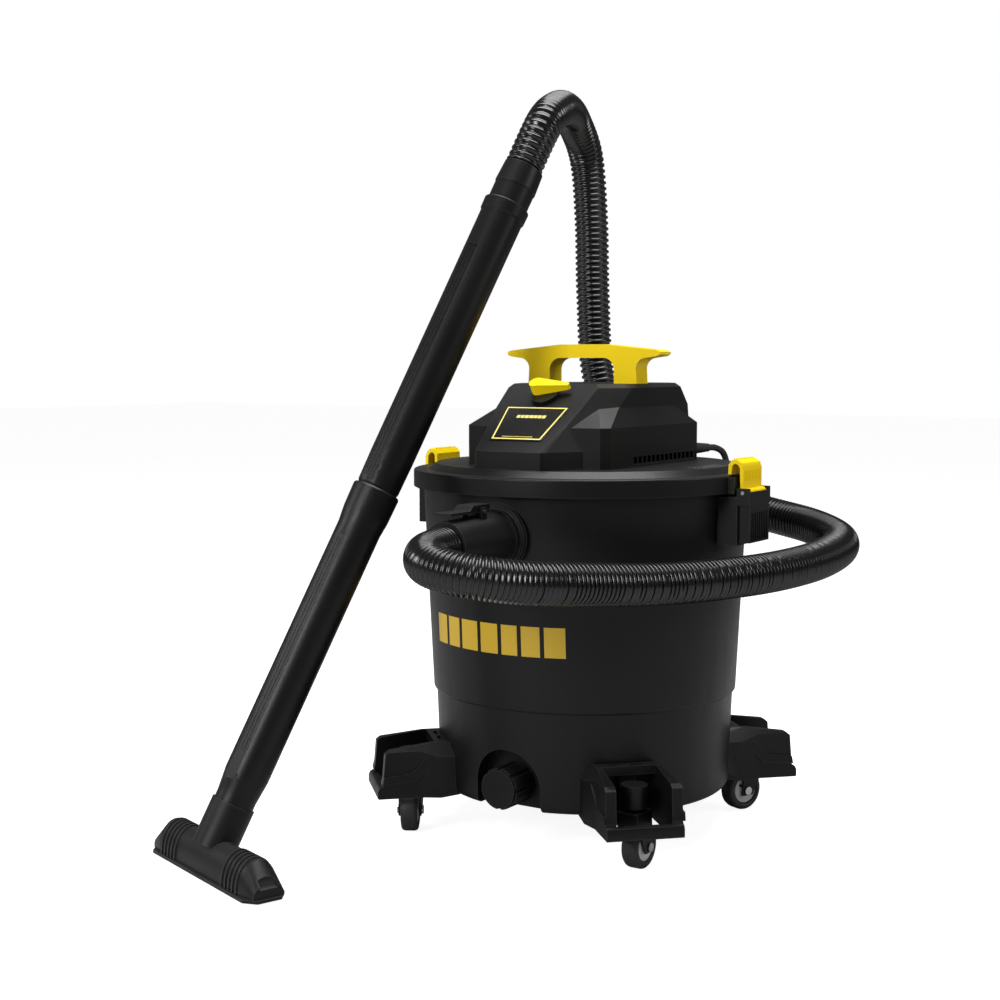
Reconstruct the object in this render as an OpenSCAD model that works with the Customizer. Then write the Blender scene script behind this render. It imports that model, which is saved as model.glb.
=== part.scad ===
// Wet and dry shop vacuum: a round tank on four casters, a lift-off powerhead held by two
// side latches, a front hose, and a two-piece wand standing on its floor nozzle.
// The origin is on the floor on the tank's axis. +Z is up and -Y is the front, with the inlet.

/* [Tank] */
// Outer radius of the tank wall at its top edge
tank_rim_r = 193; // [190:1:235]
// Height of the tank, from its underside to its top edge
tank_h = 368; // [340:1:445]
// Gap between the ground and the tank's underside
tank_floor_z = 50; // [48:1:60]
// How much the radius drops from the top edge to the foot
tank_taper = 19; // [15:0.5:23]
// Height of the moulded step above the tank's underside
seam_h = 115; // [105:1:140]
// Depth of the moulded step
seam_step = 3.6; // [2:0.1:5]
// Wall thickness of the tank
tank_wall = 3; // [2.5:0.1:4]
// Width of the bead round the top edge
bead_w = 6; // [4:0.5:8]

/* [Lid] */
// Thickness of the lid's skirt
skirt_t = 5; // [3:0.5:7]
// Height of the lid's skirt
skirt_h = 20; // [18:1:26]
// Height of the deck above the rim
deck_rise = 7; // [5:1:12]
// Wall thickness of the lid and the head cover
cover_wall = 3; // [2.5:0.1:4]

/* [Powerhead] */
// Height of the head cover above the deck
head_h = 94; // [90:1:115]
// Half width of the front of the nose
nose_half_w = 46; // [40:1:52]
// Distance from the axis to the front of the nose
nose_y = 172; // [165:1:176]
// Half width over the side bulges
bulge_half_w = 95; // [90:1:104]
// Length of the carry handle from tip to tip
handle_len = 208; // [190:1:240]
// Depth of the carry handle, front to back
handle_d = 28; // [22:1:34]
// Inner radius of the blower port
blower_r = 26.2; // [24:0.1:30]

/* [Motor and filter] */
// Radius of the motor body
motor_r = 46; // [40:1:50]
// Radius of the fan wheel
fan_r = 62; // [52:1:64]
// Radius of the motor shaft
shaft_r = 4; // [3:0.5:5]
// Radius of the float ball
ball_r = 24; // [20:0.5:26]
// Outer radius of the filter's pleats
filter_r = 76; // [66:1:90]
// Length of the filter's pleats
filter_h = 187; // [140:1:210]
// Number of pleats
pleats = 48; // [32:1:60]

/* [Hose and port] */
// Height of the inlet's centre below the tank's top edge
port_drop = 58; // [52:1:75]
// Inner radius of the inlet port
port_r = 26; // [23:0.5:27]
// Outer diameter of the hose
hose_d = 45; // [40:1:48]
// Length of the hose connector outside the port
connector_len = 94; // [80:1:110]

/* [Latches] */
// Width of each latch lever
latch_w = 50; // [36:1:60]
// Radius of the hinge pins
pin_r = 2; // [1.5:0.25:2.5]

/* [Drain] */
// Outer radius of the drain cap
drain_cap_r = 23.5; // [20:0.5:28]
// Radius of the drain spout
drain_spout_r = 16; // [12:0.5:18]

/* [Casters] */
// Radius of the wheels
wheel_r = 25; // [21:0.5:26]
// Width of the wheels
wheel_w = 20; // [16:1:22]
// Distance from the swivel axis to the wheel's axle
trail = 12; // [8:0.5:13]
// Half width of a caster pod
pod_half_w = 43; // [41:1:52]
// Radius from the tank's foot to the swivel axis
caster_out = 38; // [36:1:46]

/* [Wand and nozzle] */
// Outer radius of the wand tubes
wand_r = 25; // [23:0.5:28]
// Radius of the tapered ends that plug together
wand_end_r = 22.5; // [20:0.5:22.5]
// Wall thickness of the wand tubes
wand_wall = 2.4; // [2:0.1:3]
// Length of the lower wand that shows
wand_low_len = 378; // [300:1:460]
// Length of the upper wand that shows
wand_up_len = 364; // [300:1:440]
// Length of the floor nozzle
nozzle_len = 240; // [200:1:300]
// Depth of the floor nozzle, front to back
nozzle_d = 50; // [46:1:64]
// Height of the floor nozzle's body
nozzle_h = 40; // [38:1:50]

/* [Power cord] */
// Diameter of the power cord
cord_d = 8; // [6:0.5:9]

/* [Hidden] */
$fn = 96;

BLACK = [0.16, 0.16, 0.17];
GREY = [0.26, 0.26, 0.27];
YELLOW = [1.0, 0.85, 0.05];
METAL = [0.7, 0.7, 0.72];
PALE = [0.85, 0.85, 0.83];

run_fit = 0.05;   // radial clearance of a running fit
body_gap = 0.4;   // gap between pieces that move past each other
eps = 0.1;        // overshoot of a cut

// Tank heights and radii
tank_top_z = tank_floor_z + tank_h;
seam_z = tank_floor_z + seam_h;
foot_r = tank_rim_r - tank_taper;
low_r = tank_rim_r - tank_taper + 4;
up_r = low_r + seam_step;
foot_round = 8;
bead_h = 8;
bead_drop = 10;

// Lid heights and radii
bead_r = tank_rim_r + bead_w;
lid_in_r = bead_r + 1;
lid_r = lid_in_r + skirt_t;
rim_z = tank_top_z + 9;
deck_z = rim_z + deck_rise;
deck_r = lid_r - 27;
gasket_h = 2.7;
gasket_z = tank_top_z + 0.3;
eye_r = 62;

// Inlet
port_z = tank_top_z - port_drop;
port_face = tank_rim_r + 1;
flange_t = 4;
port_wall = 3.5;
collar_y = port_face + flange_t + 1.3;
connector_end = collar_y + connector_len;

// Latches
latch_pin = [lid_r + 13.5, tank_top_z - 10];
notch_x = lid_r - 6.6;
keeper_low = tank_top_z - 69;

// Drain
drain_z = tank_floor_z + 27;
alcove_r = drain_cap_r + 18.5;
alcove_y = foot_r - 24;
spout_end = foot_r + 4;

// Casters
pod_angles = [-135, -45, 135, 45];
swivel_angles = [-60, 90, 100, -115];
swivel_r = foot_r + caster_out;
pod_r = foot_r + 84;
pod_low = 47;
pod_top = tank_floor_z + 58;
boss_top = pod_top - 12;
fork_z = 2 * wheel_r + 3;
stem_r = 5.5;
axle_r = 3;
cheek_gap = 0.6;
cheek_t = 3;

// Switch on the sloping front of the head
nose_top = 20;
slope_y = 70;
slope_a = atan2(head_h - nose_top, nose_y - slope_y);
switch_y = 90;
switch_z = deck_z + nose_top + (nose_y - switch_y) * tan(slope_a);

// Blower port and strain relief
blower_z = deck_z + 38;
relief_at = [79.5, 120.5, deck_z + 13];
relief_a = 71.6;
relief_len = 32;

// Wand: the foot of its axis, its lean and its heading
wand_foot = [-225, -401, 41];
wand_tilt = 27.3;
wand_head = 61.8;
neck_top = 37;
bell_top = neck_top + wand_low_len;
lip_top = bell_top + wand_up_len;
plug_in = 38;
cuff_len = 49;
grip_turn = -158;
nozzle_a = -20;
nozzle_fwd = 9;
nozzle_round = 24;

// Route of the hose, from the connector round the tank's right side and up behind the lid
hose_route = [[0, -293, 360], [4, -332, 356], [34, -366, 350], [82, -366, 343],
    [122, -326, 335], [160, -256, 328], [196, -186, 323], [232, -108, 322], [262, -20, 324],
    [277, 68, 330], [262, 156, 338], [204, 218, 348], [122, 240, 361], [40, 241, 380],
    [-30, 234, 411], [-80, 219, 464], [-102, 209, 540], [-108, 206, 640], [-110, 204, 740],
    [-110, 190, 820], [-100, 140, 860], [-80, 84, 866], [-58, 26, 856], [-36, -38, 830],
    [-46, -67, 777]];
hose_steps = 2;

// Route of the power cord, over the rim, down behind the tank and along the floor
cord_route = [[89.6, 150.9, 447], [93, 165, 446], [96, 181, 439], [96, 192, 422],
    [94, 196, 395], [94, 196, 320], [94, 196, 240], [94, 196, 160], [94, 196, 80],
    [92, 198, 38], [80, 202, 12], [58, 208, 5], [28, 216, 5], [-10, 223, 5], [-50, 227, 5],
    [-86, 228, 5]];
cord_tail = [[-127, 292, 29], [-122, 312, 26], [-113, 334, 18], [-100, 350, 12],
    [-86, 359, 10]];
cord_steps = 2;

// Coil of the spare cord behind the tank
coil_at = [-70, 282];
coil_mid_r = 5.75 * cord_d;
coil_half = 2 * cord_d;
coil_z = 0.8;
coil_h = 4 * cord_d;
plug_at = [-62, 356, 10];
plug_a = -8;

// ---------------------------------------------------------------- helpers

function arc(x, y, r, a0, a1, n) = [for (i = [0:n]) let (a = a0 + (a1 - a0) * i / n)
    [x + r * cos(a), y + r * sin(a)]];
function unit(v) = v / norm(v);
function mirrored(p) = concat(p, [for (i = [len(p) - 1:-1:0]) [-p[i][0], p[i][1]]]);
function at(p, i) = p[max(0, min(len(p) - 1, i))];
function bend(p, i, t) = let (a = at(p, i - 1), b = p[i], c = at(p, i + 1), d = at(p, i + 2))
    0.5 * (2 * b + (c - a) * t + (2 * a - 5 * b + 4 * c - d) * t * t
        + (3 * b - a - 3 * c + d) * t * t * t);
function smooth(p, n) = [for (i = [0:len(p) - 2]) for (k = [0:n - 1]) bend(p, i, k / n),
    p[len(p) - 1]];
function headings(p) = [for (i = [0:len(p) - 1]) unit(at(p, i + 1) - at(p, i - 1))];
function sides(t, i = 0, s = []) = i == len(t) ? s : sides(t, i + 1, concat(s,
    [i == 0 ? unit(cross(t[0], [0.2, 0.3, 1])) : unit(s[i - 1] - (s[i - 1] * t[i]) * t[i])]));

// A closed tube of radius r with m sides along the points p
module tube(p, r, m) {
    t = headings(p);
    s = sides(t);
    n = len(p);
    pts = [for (i = [0:n - 1]) for (j = [0:m - 1]) let (a = 360 * j / m)
        p[i] + r * (cos(a) * s[i] + sin(a) * cross(t[i], s[i]))];
    wall = [for (i = [0:n - 2]) for (j = [0:m - 1]) let (a = i * m + j, b = i * m + (j + 1) % m)
        each [[a, a + m, b], [b, a + m, b + m]]];
    ends = [[for (j = [0:m - 1]) j], [for (j = [m - 1:-1:0]) (n - 1) * m + j]];
    polyhedron(points = pts, faces = concat(wall, ends), convexity = 10);
}

// A cylinder lying along Y from y0 to y1, centred on the height z
module along_y(y0, y1, r, z) {
    translate([0, min(y0, y1), z]) rotate([-90, 0, 0]) cylinder(h = abs(y1 - y0), r = r);
}

// A box given by its two corners
module block(a, b) {
    translate(a) cube(b - a);
}

// Places children on the wand's axis, at the distance s from its foot
module on_wand(s) {
    translate(wand_foot) rotate([0, wand_tilt, wand_head]) translate([0, 0, s]) children();
}

// Places children on the head's sloping front, at the switch
module on_slope() {
    translate([0, -switch_y, switch_z]) rotate([slope_a, 0, 0]) children();
}

// A ring with a square section
module ring(r_in, r_out, z0, z1) {
    translate([0, 0, z0]) difference() {
        cylinder(h = z1 - z0, r = r_out);
        translate([0, 0, -eps]) cylinder(h = z1 - z0 + 2 * eps, r = r_in);
    }
}

// ---------------------------------------------------------------- tank

module tank_outer() {
    rotate_extrude($fn = 180) polygon(concat([[0, tank_floor_z]],
        arc(foot_r - foot_round, tank_floor_z + foot_round, foot_round, -90, 0, 6),
        [[low_r, seam_z]],
        arc(up_r - 3, seam_z + 3, 3, -90, 0, 4),
        [[tank_rim_r, tank_top_z - bead_drop],
        [bead_r, tank_top_z - bead_h], [bead_r, tank_top_z], [0, tank_top_z]]));
}

module tank_inner() {
    w = tank_wall;
    rotate_extrude($fn = 180) polygon(concat([[0, tank_floor_z + w]],
        arc(foot_r - foot_round, tank_floor_z + foot_round, foot_round - w, -90, 0, 6),
        [[low_r - w, seam_z + w], [up_r - w, seam_z + 2 * w],
        [tank_rim_r - w, tank_top_z - bead_drop], [tank_rim_r - w, tank_top_z + 1],
        [0, tank_top_z + 1]]));
}

// An arch-shaped prism, open downwards, that runs in from the front
module arch(r, y) {
    along_y(-y, -foot_r - 20, r, drain_z);
    block([-r, -foot_r - 20, tank_floor_z - 1], [r, -y, drain_z]);
}

module tank() {
    color(BLACK) difference() {
        union() {
            difference() {
                tank_outer();
                tank_inner();
            }
            intersection() {
                tank_outer();
                arch(alcove_r + tank_wall, alcove_y - tank_wall);
            }
            along_y(-port_face, -tank_rim_r + 9, port_r + port_wall + 9.5, port_z);
            along_y(-alcove_y + 1, -spout_end, drain_spout_r, drain_z);
        }
        difference() {
            arch(alcove_r, alcove_y);
            along_y(-alcove_y + 1, -spout_end, drain_spout_r, drain_z);
        }
        along_y(-alcove_y + tank_wall + 1, -spout_end - 1, drain_spout_r - 3, drain_z);
        along_y(-port_face - 1, -tank_rim_r + 20, port_r + port_wall + run_fit, port_z);
    }
}

module inlet_port() {
    color(GREY) difference() {
        union() {
            along_y(-port_face, -port_face - flange_t * 0.6, port_r + 11, port_z);
            along_y(-port_face, -port_face - flange_t, port_r + 7.5, port_z);
            along_y(-port_face, -port_face + 28, port_r + port_wall, port_z);
        }
        along_y(-port_face - flange_t - 1, -port_face + 29, port_r, port_z);
    }
}

module inlet_deflector() {
    y0 = port_face - 22;
    r = port_r + port_wall;
    color(GREY) difference() {
        block([-r - 6, -y0, port_z - r - 9], [r + 6, -y0 + 26, port_z + r + 9]);
        block([-r - 3, -y0 + 3, port_z - r - 10], [r + 3, -y0 + 23, port_z + r + 6]);
        along_y(-y0 - 1, -y0 + 6, r + run_fit, port_z);
    }
}

module drain_gasket() {
    color("black") difference() {
        along_y(-alcove_y, -alcove_y - 2.5, drain_spout_r + 4, drain_z);
        along_y(-alcove_y + 1, -alcove_y - 4, drain_spout_r + run_fit, drain_z);
    }
}

module drain_cap() {
    y0 = alcove_y + 2.9;
    y1 = spout_end + 14;
    color(BLACK) difference() {
        union() {
            along_y(-y0, -y1 + 3, drain_cap_r, drain_z);
            along_y(-y0, -y1, drain_cap_r - 2, drain_z);
        }
        along_y(-y0 + 1, -spout_end - 1, drain_spout_r + run_fit, drain_z);
        for (i = [0:7]) translate([0, 0, drain_z]) rotate([0, i * 45, 0])
            along_y(-y0 + 1, -y1 - 1, 3, drain_cap_r + 1);
    }
}

// ---------------------------------------------------------------- caster pods and casters

// Side view of a pod: x is the radius, y the height
module pod_side() {
    polygon([[foot_r - 12, pod_low + 3], [foot_r - 12, pod_top + 2], [foot_r + 20, pod_top + 2],
        [pod_r - 14, pod_top - 5], [pod_r - 9, pod_top - 9], [pod_r - 6, pod_low + 15],
        [pod_r - 2, pod_low + 13], [pod_r, pod_low + 9], [pod_r, pod_low + 1],
        [pod_r - 1, pod_low], [foot_r + 10, pod_low]]);
}
module pod_front() {
    w = pod_half_w;
    polygon([[w + 7, 0], [w + 7, pod_top - 14], [w - 8, pod_top + 3], [8 - w, pod_top + 3],
        [-w - 7, pod_top - 14], [-w - 7, 0]]);
}
module pod_rib() {
    polygon([[foot_r + 12, pod_top - 13], [foot_r + 26, pod_top - 13],
        [foot_r + 44, pod_low + 30], [pod_r - 7, pod_low + 26], [pod_r - 5, pod_low + 17],
        [foot_r + 40, pod_low + 20]]);
}

module pod(i) {
    w = pod_half_w;
    open_w = w - 12;
    root_w = w + 6;
    boss_z = fork_z + 18;
    color(BLACK) rotate([0, 0, pod_angles[i]]) difference() {
        union() {
            intersection() {
                rotate([90, 0, 0]) linear_extrude(2 * root_w, center = true) pod_side();
                linear_extrude(2 * pod_top) polygon([[foot_r - 20, -root_w], [foot_r + 12, -root_w],
                    [foot_r + 34, -w], [pod_r + 1, -w], [pod_r + 1, w], [foot_r + 34, w],
                    [foot_r + 12, root_w], [foot_r - 20, root_w]]);
                rotate([90, 0, 90]) linear_extrude(2 * pod_r) pod_front();
            }
            rotate([90, 0, 0]) linear_extrude(2 * w + 5, center = true) pod_rib();
        }
        difference() {
            block([foot_r - 30, -open_w, 0], [pod_r + 10, open_w, pod_top + 9]);
            block([foot_r - 31, -w, pod_top - 8], [foot_r + 15, w, pod_top + 10]);
            block([foot_r - 31, -9, boss_z], [swivel_r, 9, pod_top - 20]);
            block([foot_r - 31, -9, boss_z], [foot_r + 12, 9, pod_top]);
            block([pod_r - 10, -w, 0], [pod_r + 11, w, pod_low + 13.5]);
            translate([swivel_r, 0, boss_z]) cylinder(h = boss_top - boss_z, r = stem_r + 9);
        }
        translate([swivel_r, 0, 0]) cylinder(h = boss_top - 3, r = stem_r + run_fit);
        for (y = [-1, 1]) block([foot_r + 4, 12 * y - 9, pod_top - 1], [foot_r + 9, 12 * y + 9, pod_top + 5]);
        rotate([0, 0, -pod_angles[i]]) tank_outer();
    }
}

// Places children on a caster's swivel axis, with +X towards the trailing side
module on_swivel(i) {
    rotate([0, 0, pod_angles[i]]) translate([swivel_r, 0, 0])
        rotate([0, 0, swivel_angles[i] - pod_angles[i]]) children();
}

module caster_fork(i) {
    in_w = wheel_w / 2 + cheek_gap;
    out_w = in_w + cheek_t;
    color(GREY) on_swivel(i) difference() {
        union() {
            block([-17, -out_w, fork_z], [17, out_w, fork_z + 14]);
            cylinder(h = boss_top - 6, r = stem_r);
            rotate([90, 0, 0]) linear_extrude(2 * out_w, center = true)
                polygon([[-15, fork_z + 1], [trail - 8, wheel_r - 6], [trail + 8, wheel_r - 6],
                    [17, fork_z + 1]]);
        }
        block([-40, -in_w, -1], [40, in_w, fork_z - 1]);
        translate([trail, 0, wheel_r]) rotate([90, 0, 0])
            cylinder(h = 60, r = axle_r + run_fit, center = true);
    }
}

module caster_axle(i) {
    long = wheel_w / 2 + cheek_gap + cheek_t + 0.6;
    color(METAL) on_swivel(i) translate([trail, 0, wheel_r]) rotate([90, 0, 0]) {
        cylinder(h = 2 * long, r = axle_r, center = true);
        for (s = [-1, 1]) translate([0, 0, s * (long + 0.7)])
            cylinder(h = 1.4, r = axle_r + 2, center = true);
    }
}

module caster_wheel(i) {
    h = wheel_w / 2;
    color(PALE) on_swivel(i) translate([trail, 0, wheel_r]) rotate([90, 0, 0])
        rotate_extrude() polygon(concat([[axle_r + run_fit, -h + 1], [9, -h + 1], [10, -h + 3],
            [wheel_r - 8, -h + 3], [wheel_r - 7, -h]], arc(wheel_r - 4, -h + 4, 4, -90, 0, 5),
            arc(wheel_r - 4, h - 4, 4, 0, 90, 5), [[wheel_r - 7, h], [wheel_r - 8, h - 3],
            [10, h - 3], [9, h - 1], [axle_r + run_fit, h - 1]]));
}

// ---------------------------------------------------------------- latches

module latch_keeper(s) {
    x = latch_pin[0];
    z = latch_pin[1];
    w = latch_w / 2;
    color(GREY) mirror([s < 0 ? 1 : 0, 0, 0]) difference() {
        union() {
            block([tank_rim_r - 6, -w - 5, keeper_low], [x - 5.5, w + 5, tank_top_z - 15]);
            block([x - 5.6, -w - 1, keeper_low + 3], [x + 8, w + 1, z - 6]);
            block([x + 5, -w - 1, z - 7], [x + 8, w + 1, z + 1]);
            for (y = [-w - 4, w + 0.4]) block([x - 7, y, z - 14], [x + 8, y + 3.6, z + 5]);
        }
        for (k = [-4:4]) block([x + 6.4, k * w / 5 - 1.4, keeper_low + 5],
            [x + 9, k * w / 5 + 1.4, keeper_low + 37]);
        translate([x, 0, z]) rotate([90, 0, 0])
            cylinder(h = latch_w + 30, r = pin_r + run_fit, center = true);
        tank_outer();
    }
}

module latch_lever(s) {
    x = latch_pin[0];
    z = latch_pin[1];
    lip = notch_x + 0.5;
    top = rim_z + 18;
    color(YELLOW) mirror([s < 0 ? 1 : 0, 0, 0]) difference() {
        union() {
            rotate([90, 0, 0]) linear_extrude(latch_w, center = true) polygon([
                [x - 4.5, z + 1], [x - 1.2, z + 3], [x - 1.2, top - 10], [x - 3.5, top - 4],
                [x - 9, top], [lip + 4, top - 1], [lip + 0.5, top - 6], [lip, rim_z + 1],
                [lip + 4, rim_z + 1], [lip + 4.5, top - 8], [lip + 7, top - 5],
                [x - 9, top - 5], [x - 5.5, top - 9]]);
            translate([x, 0, z]) rotate([90, 0, 0])
                cylinder(h = latch_w, r = pin_r + 2.5, center = true);
        }
        translate([x, 0, z]) rotate([90, 0, 0])
            cylinder(h = latch_w + 2, r = pin_r + run_fit, center = true);
    }
}

module hinge_pins() {
    color(METAL) {
        for (s = [-1, 1]) translate([s * latch_pin[0], 0, latch_pin[1]]) rotate([90, 0, 0])
            cylinder(h = latch_w + 9, r = pin_r, center = true);
        translate([0, -lever_y, lever_z]) rotate([0, 90, 0])
            cylinder(h = 30, r = pin_r, center = true);
    }
}

// ---------------------------------------------------------------- hose connector and hose

lever_y = collar_y + 40;
lever_z = port_z + port_r + 8;

module hose_connector() {
    r1 = port_r + 4;
    color(BLACK) difference() {
        union() {
            along_y(-port_face + 20, -collar_y, port_r - run_fit, port_z);
            along_y(-collar_y, -collar_y - 5, port_r + 7, port_z);
            translate([0, -collar_y, port_z]) rotate([90, 0, 0])
                cylinder(h = connector_len, r1 = r1, r2 = hose_d / 2 + 4);
            for (x = [-14, 11]) block([x, -lever_y - 5, port_z + 18], [x + 3, -lever_y + 5,
                lever_z + 4]);
        }
        along_y(-port_face + 21, -connector_end - 1, hose_d / 2 - 3, port_z);
        translate([0, -lever_y, lever_z]) rotate([0, 90, 0])
            cylinder(h = 40, r = pin_r + run_fit, center = true);
    }
}

module lock_lever() {
    color(BLACK) difference() {
        union() {
            translate([0, -lever_y, lever_z]) rotate([0, 90, 0])
                cylinder(h = 21, r = pin_r + 2, center = true);
            rotate([90, 0, 90]) linear_extrude(21, center = true) polygon([
                [-lever_y + 16, lever_z + 1], [-lever_y + 16, lever_z + 7],
                [-lever_y - 16, lever_z + 7], [-lever_y - 22, lever_z + 1.5],
                [-lever_y - 58, lever_z + 1.5], [-lever_y - 58, lever_z - 1.5],
                [-lever_y - 12, lever_z - 1.5], [-lever_y - 4, lever_z - 1]]);
        }
        translate([0, -lever_y, lever_z]) rotate([0, 90, 0])
            cylinder(h = 40, r = pin_r + run_fit, center = true);
    }
}

module hose_tube() {
    color(BLACK) tube(smooth(hose_route, hose_steps), hose_d / 2, 10);
}

module hose_cuff() {
    bore = wand_end_r - wand_wall - 1.5;
    color(BLACK) on_wand(lip_top) difference() {
        union() {
            translate([0, 0, -plug_in]) cylinder(h = plug_in + 1, r = wand_end_r - run_fit);
            translate([0, 0, body_gap]) cylinder(h = 24, r = wand_r - 1);
            translate([0, 0, 23]) cylinder(h = cuff_len - 23, r1 = wand_r, r2 = hose_d / 2 + 1);
        }
        translate([0, 0, -plug_in - 1]) cylinder(h = plug_in + cuff_len + 2, r = bore);
    }
}

// ---------------------------------------------------------------- power cord

module strain_relief() {
    r = cord_d / 2;
    color("black") translate(relief_at) rotate([0, 90, relief_a]) {
        translate([0, 0, -9]) cylinder(h = 8.5 - cover_wall, r = r + 4);
        translate([0, 0, -cover_wall - 2]) cylinder(h = cover_wall + 3, r = r + 3);
        translate([0, 0, 0.5]) cylinder(h = 3, r = r + 4.5);
        translate([0, 0, 3]) cylinder(h = relief_len - 3, r1 = r + 3.5, r2 = r + 1);
    }
}

module cord_tube() {
    color("black") {
        tube(smooth(cord_route, cord_steps), cord_d / 2, 8);
        tube(cord_tail, cord_d / 2, 8);
    }
}

module cord_coil() {
    color("black") translate([coil_at[0], coil_at[1], coil_z])
        ring(coil_mid_r - coil_half, coil_mid_r + coil_half, 0, coil_h);
}

module cord_tie() {
    a = coil_mid_r - coil_half;
    b = coil_mid_r + coil_half;
    t = coil_z;
    color(GREY) translate([coil_at[0], coil_at[1], 0]) rotate([0, 0, 200])
        rotate_extrude(angle = 18) difference() {
            translate([a - t, 0]) square([b - a + 2 * t, coil_h + 2 * t]);
            translate([a, t]) square([b - a, coil_h]);
        }
}

module plug() {
    color("black") translate(plug_at) rotate([0, 0, plug_a]) {
        translate([-25, 0, 0]) rotate([0, 90, 0]) cylinder(h = 26, r1 = cord_d / 2 + 0.5, r2 = 7.5);
        block([0, -13, -10], [26, 13, 10]);
        for (y = [-6.4, 6.4]) block([25, y - 0.8, -3.2], [43, y + 0.8, 3.2]);
        translate([25, 0, -6.5]) rotate([0, 90, 0]) cylinder(h = 19, r = 2.3);
    }
}

// ---------------------------------------------------------------- lid

module lid() {
    t = cover_wall;
    ear = latch_w / 2 + 2;
    color(BLACK) difference() {
        union() {
            rotate_extrude($fn = 180) polygon(concat([[lid_in_r, rim_z - skirt_h],
                [lid_r, rim_z - skirt_h]], arc(lid_r - 2, rim_z - 2, 2, 0, 90, 4),
                [[deck_r + 9, rim_z], [deck_r, deck_z], [eye_r, deck_z], [eye_r, deck_z - t],
                [deck_r - 1, deck_z - t], [deck_r + 8, rim_z - t], [bead_r - 9, rim_z - t],
                [bead_r - 9, gasket_z + gasket_h], [lid_in_r, gasket_z + gasket_h]]));
            for (s = [-1, 1]) for (y = [-ear - 6, ear])
                block([s > 0 ? lid_in_r - 8 : -notch_x - 12, y, rim_z - skirt_h],
                    [s > 0 ? notch_x + 12 : 8 - lid_in_r, y + 6, rim_z - 2]);
        }
        for (s = [-1, 1]) block([s > 0 ? notch_x : -lid_r - 20, 0.6 - ear, rim_z - skirt_h - 1],
            [s > 0 ? lid_r + 20 : -notch_x, ear - 0.6, deck_z + 2]);
        rotate_extrude($fn = 180) translate([0, gasket_z - 30]) square([lid_in_r,
            30 + gasket_h]);
    }
}

module lid_gasket() {
    color("black") ring(tank_rim_r - 2, notch_x - 1, gasket_z, gasket_z + gasket_h);
}

// ---------------------------------------------------------------- powerhead

// Outlines of the head cover, right half, from front to back
mid_h = head_h - 26;
edge_h = head_h - 4.5;
mid_y = nose_y - (mid_h - nose_top) / tan(slope_a);
edge_y = nose_y - (edge_h - nose_top) / tan(slope_a);
plan_low = [[nose_half_w - 4, -nose_y], [nose_half_w, -nose_y + 5], [64, -130], [82, -100],
    [82, 116], [60, 138]];
plan_mid = [[nose_half_w + 11, -mid_y], [80, -62], [80, 112], [60, 132]];
plan_top = [[nose_half_w + 14, -edge_y], [80, -30], [80, 92], [60, 110]];
bulge_low = [[60, -127], [bulge_half_w - 8, -118], [bulge_half_w, -108],
    [bulge_half_w, 108], [bulge_half_w - 8, 118], [60, 127]];
bulge_top = [[66, -84], [80, -62], [80, 72], [66, 90]];
bulge_h = 46;
top_in = 6;
slab = 0.5;

// One level of the head cover, with its top at z, pulled in by t
module level(p, z, t) {
    translate([0, 0, z - slab]) linear_extrude(slab) offset(delta = -t) polygon(mirrored(p));
}

module head_shape(t) {
    low = deck_z + (t > 0 ? -1 : slab);
    hull() {
        level(plan_low, low, t);
        level(plan_low, deck_z + nose_top - t * 0.6, t);
        level(plan_mid, deck_z + mid_h - t, t);
        level(plan_top, deck_z + edge_h - t, t);
        level(plan_top, deck_z + head_h - t, t + top_in);
    }
    hull() {
        level(bulge_low, low, t);
        level(bulge_low, deck_z + bulge_h - t * 0.5, t);
        level(bulge_top, deck_z + mid_h - t, t);
    }
}

module head_cover() {
    color(BLACK) difference() {
        head_shape(0);
        head_shape(cover_wall);
        on_slope() cylinder(h = 30, r = shaft_r + 1, center = true);
        along_y(100, 180, blower_r + 4.2, blower_z);
        translate(relief_at) rotate([0, 90, relief_a])
            cylinder(h = 20, r = cord_d / 2 + 3.2, center = true);
        for (s = [-1, 1]) vent_cut(s, 0);
    }
}

vent_y = [-66, 106];
vent_z = [2, 13];

// The long opening at the foot of each side bulge
module vent_cut(s, shrink) {
    mirror([s < 0 ? 1 : 0, 0, 0]) rotate([90, 0, 90]) translate([0, 0, bulge_half_w - 9])
        linear_extrude(20) polygon([[vent_y[0] + shrink, deck_z + vent_z[0] + shrink],
            [vent_y[1] - shrink, deck_z + vent_z[0] + shrink],
            [vent_y[1] - shrink, deck_z + vent_z[1] - shrink],
            [vent_y[0] + 12, deck_z + vent_z[1] - shrink]]);
}

module vent_grilles() {
    n = 14;
    color("black") for (s = [-1, 1]) difference() {
        intersection() {
            vent_cut(s, 0.1);
            mirror([s < 0 ? 1 : 0, 0, 0]) block([bulge_half_w - 7, -200, deck_z],
                [bulge_half_w - 0.8, 200, deck_z + 40]);
        }
        for (i = [0:n - 1]) mirror([s < 0 ? 1 : 0, 0, 0])
            block([bulge_half_w - 12, vent_y[0] + 14 + i * 11, deck_z + vent_z[0] + 1.6],
                [bulge_half_w + 9, vent_y[0] + 22 + i * 11, deck_z + vent_z[1] - 1.6]);
    }
}

module carry_handle() {
    z = deck_z + head_h;
    tip = handle_len / 2;
    grip_in = 44;
    leg_out = 74;
    half = concat(
        [[leg_out, z], [leg_out - 1, z + 19]],
        arc(leg_out + 12, z + 17, 13, 175, 100, 6),
        [[tip - 4, z + 32], [tip, z + 34], [tip, z + 37], [tip - 4, z + 39], [60, z + 43],
        [30, z + 46]]);
    color(YELLOW) difference() {
        rotate([90, 0, 0]) translate([0, 0, -4]) linear_extrude(handle_d, center = true)
            difference() {
                polygon(mirrored(half));
                polygon(mirrored(concat([[grip_in, z - 1]],
                    arc(grip_in - 14, z + 16, 14, 0, 90, 8))));
            }
    }
}

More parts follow.
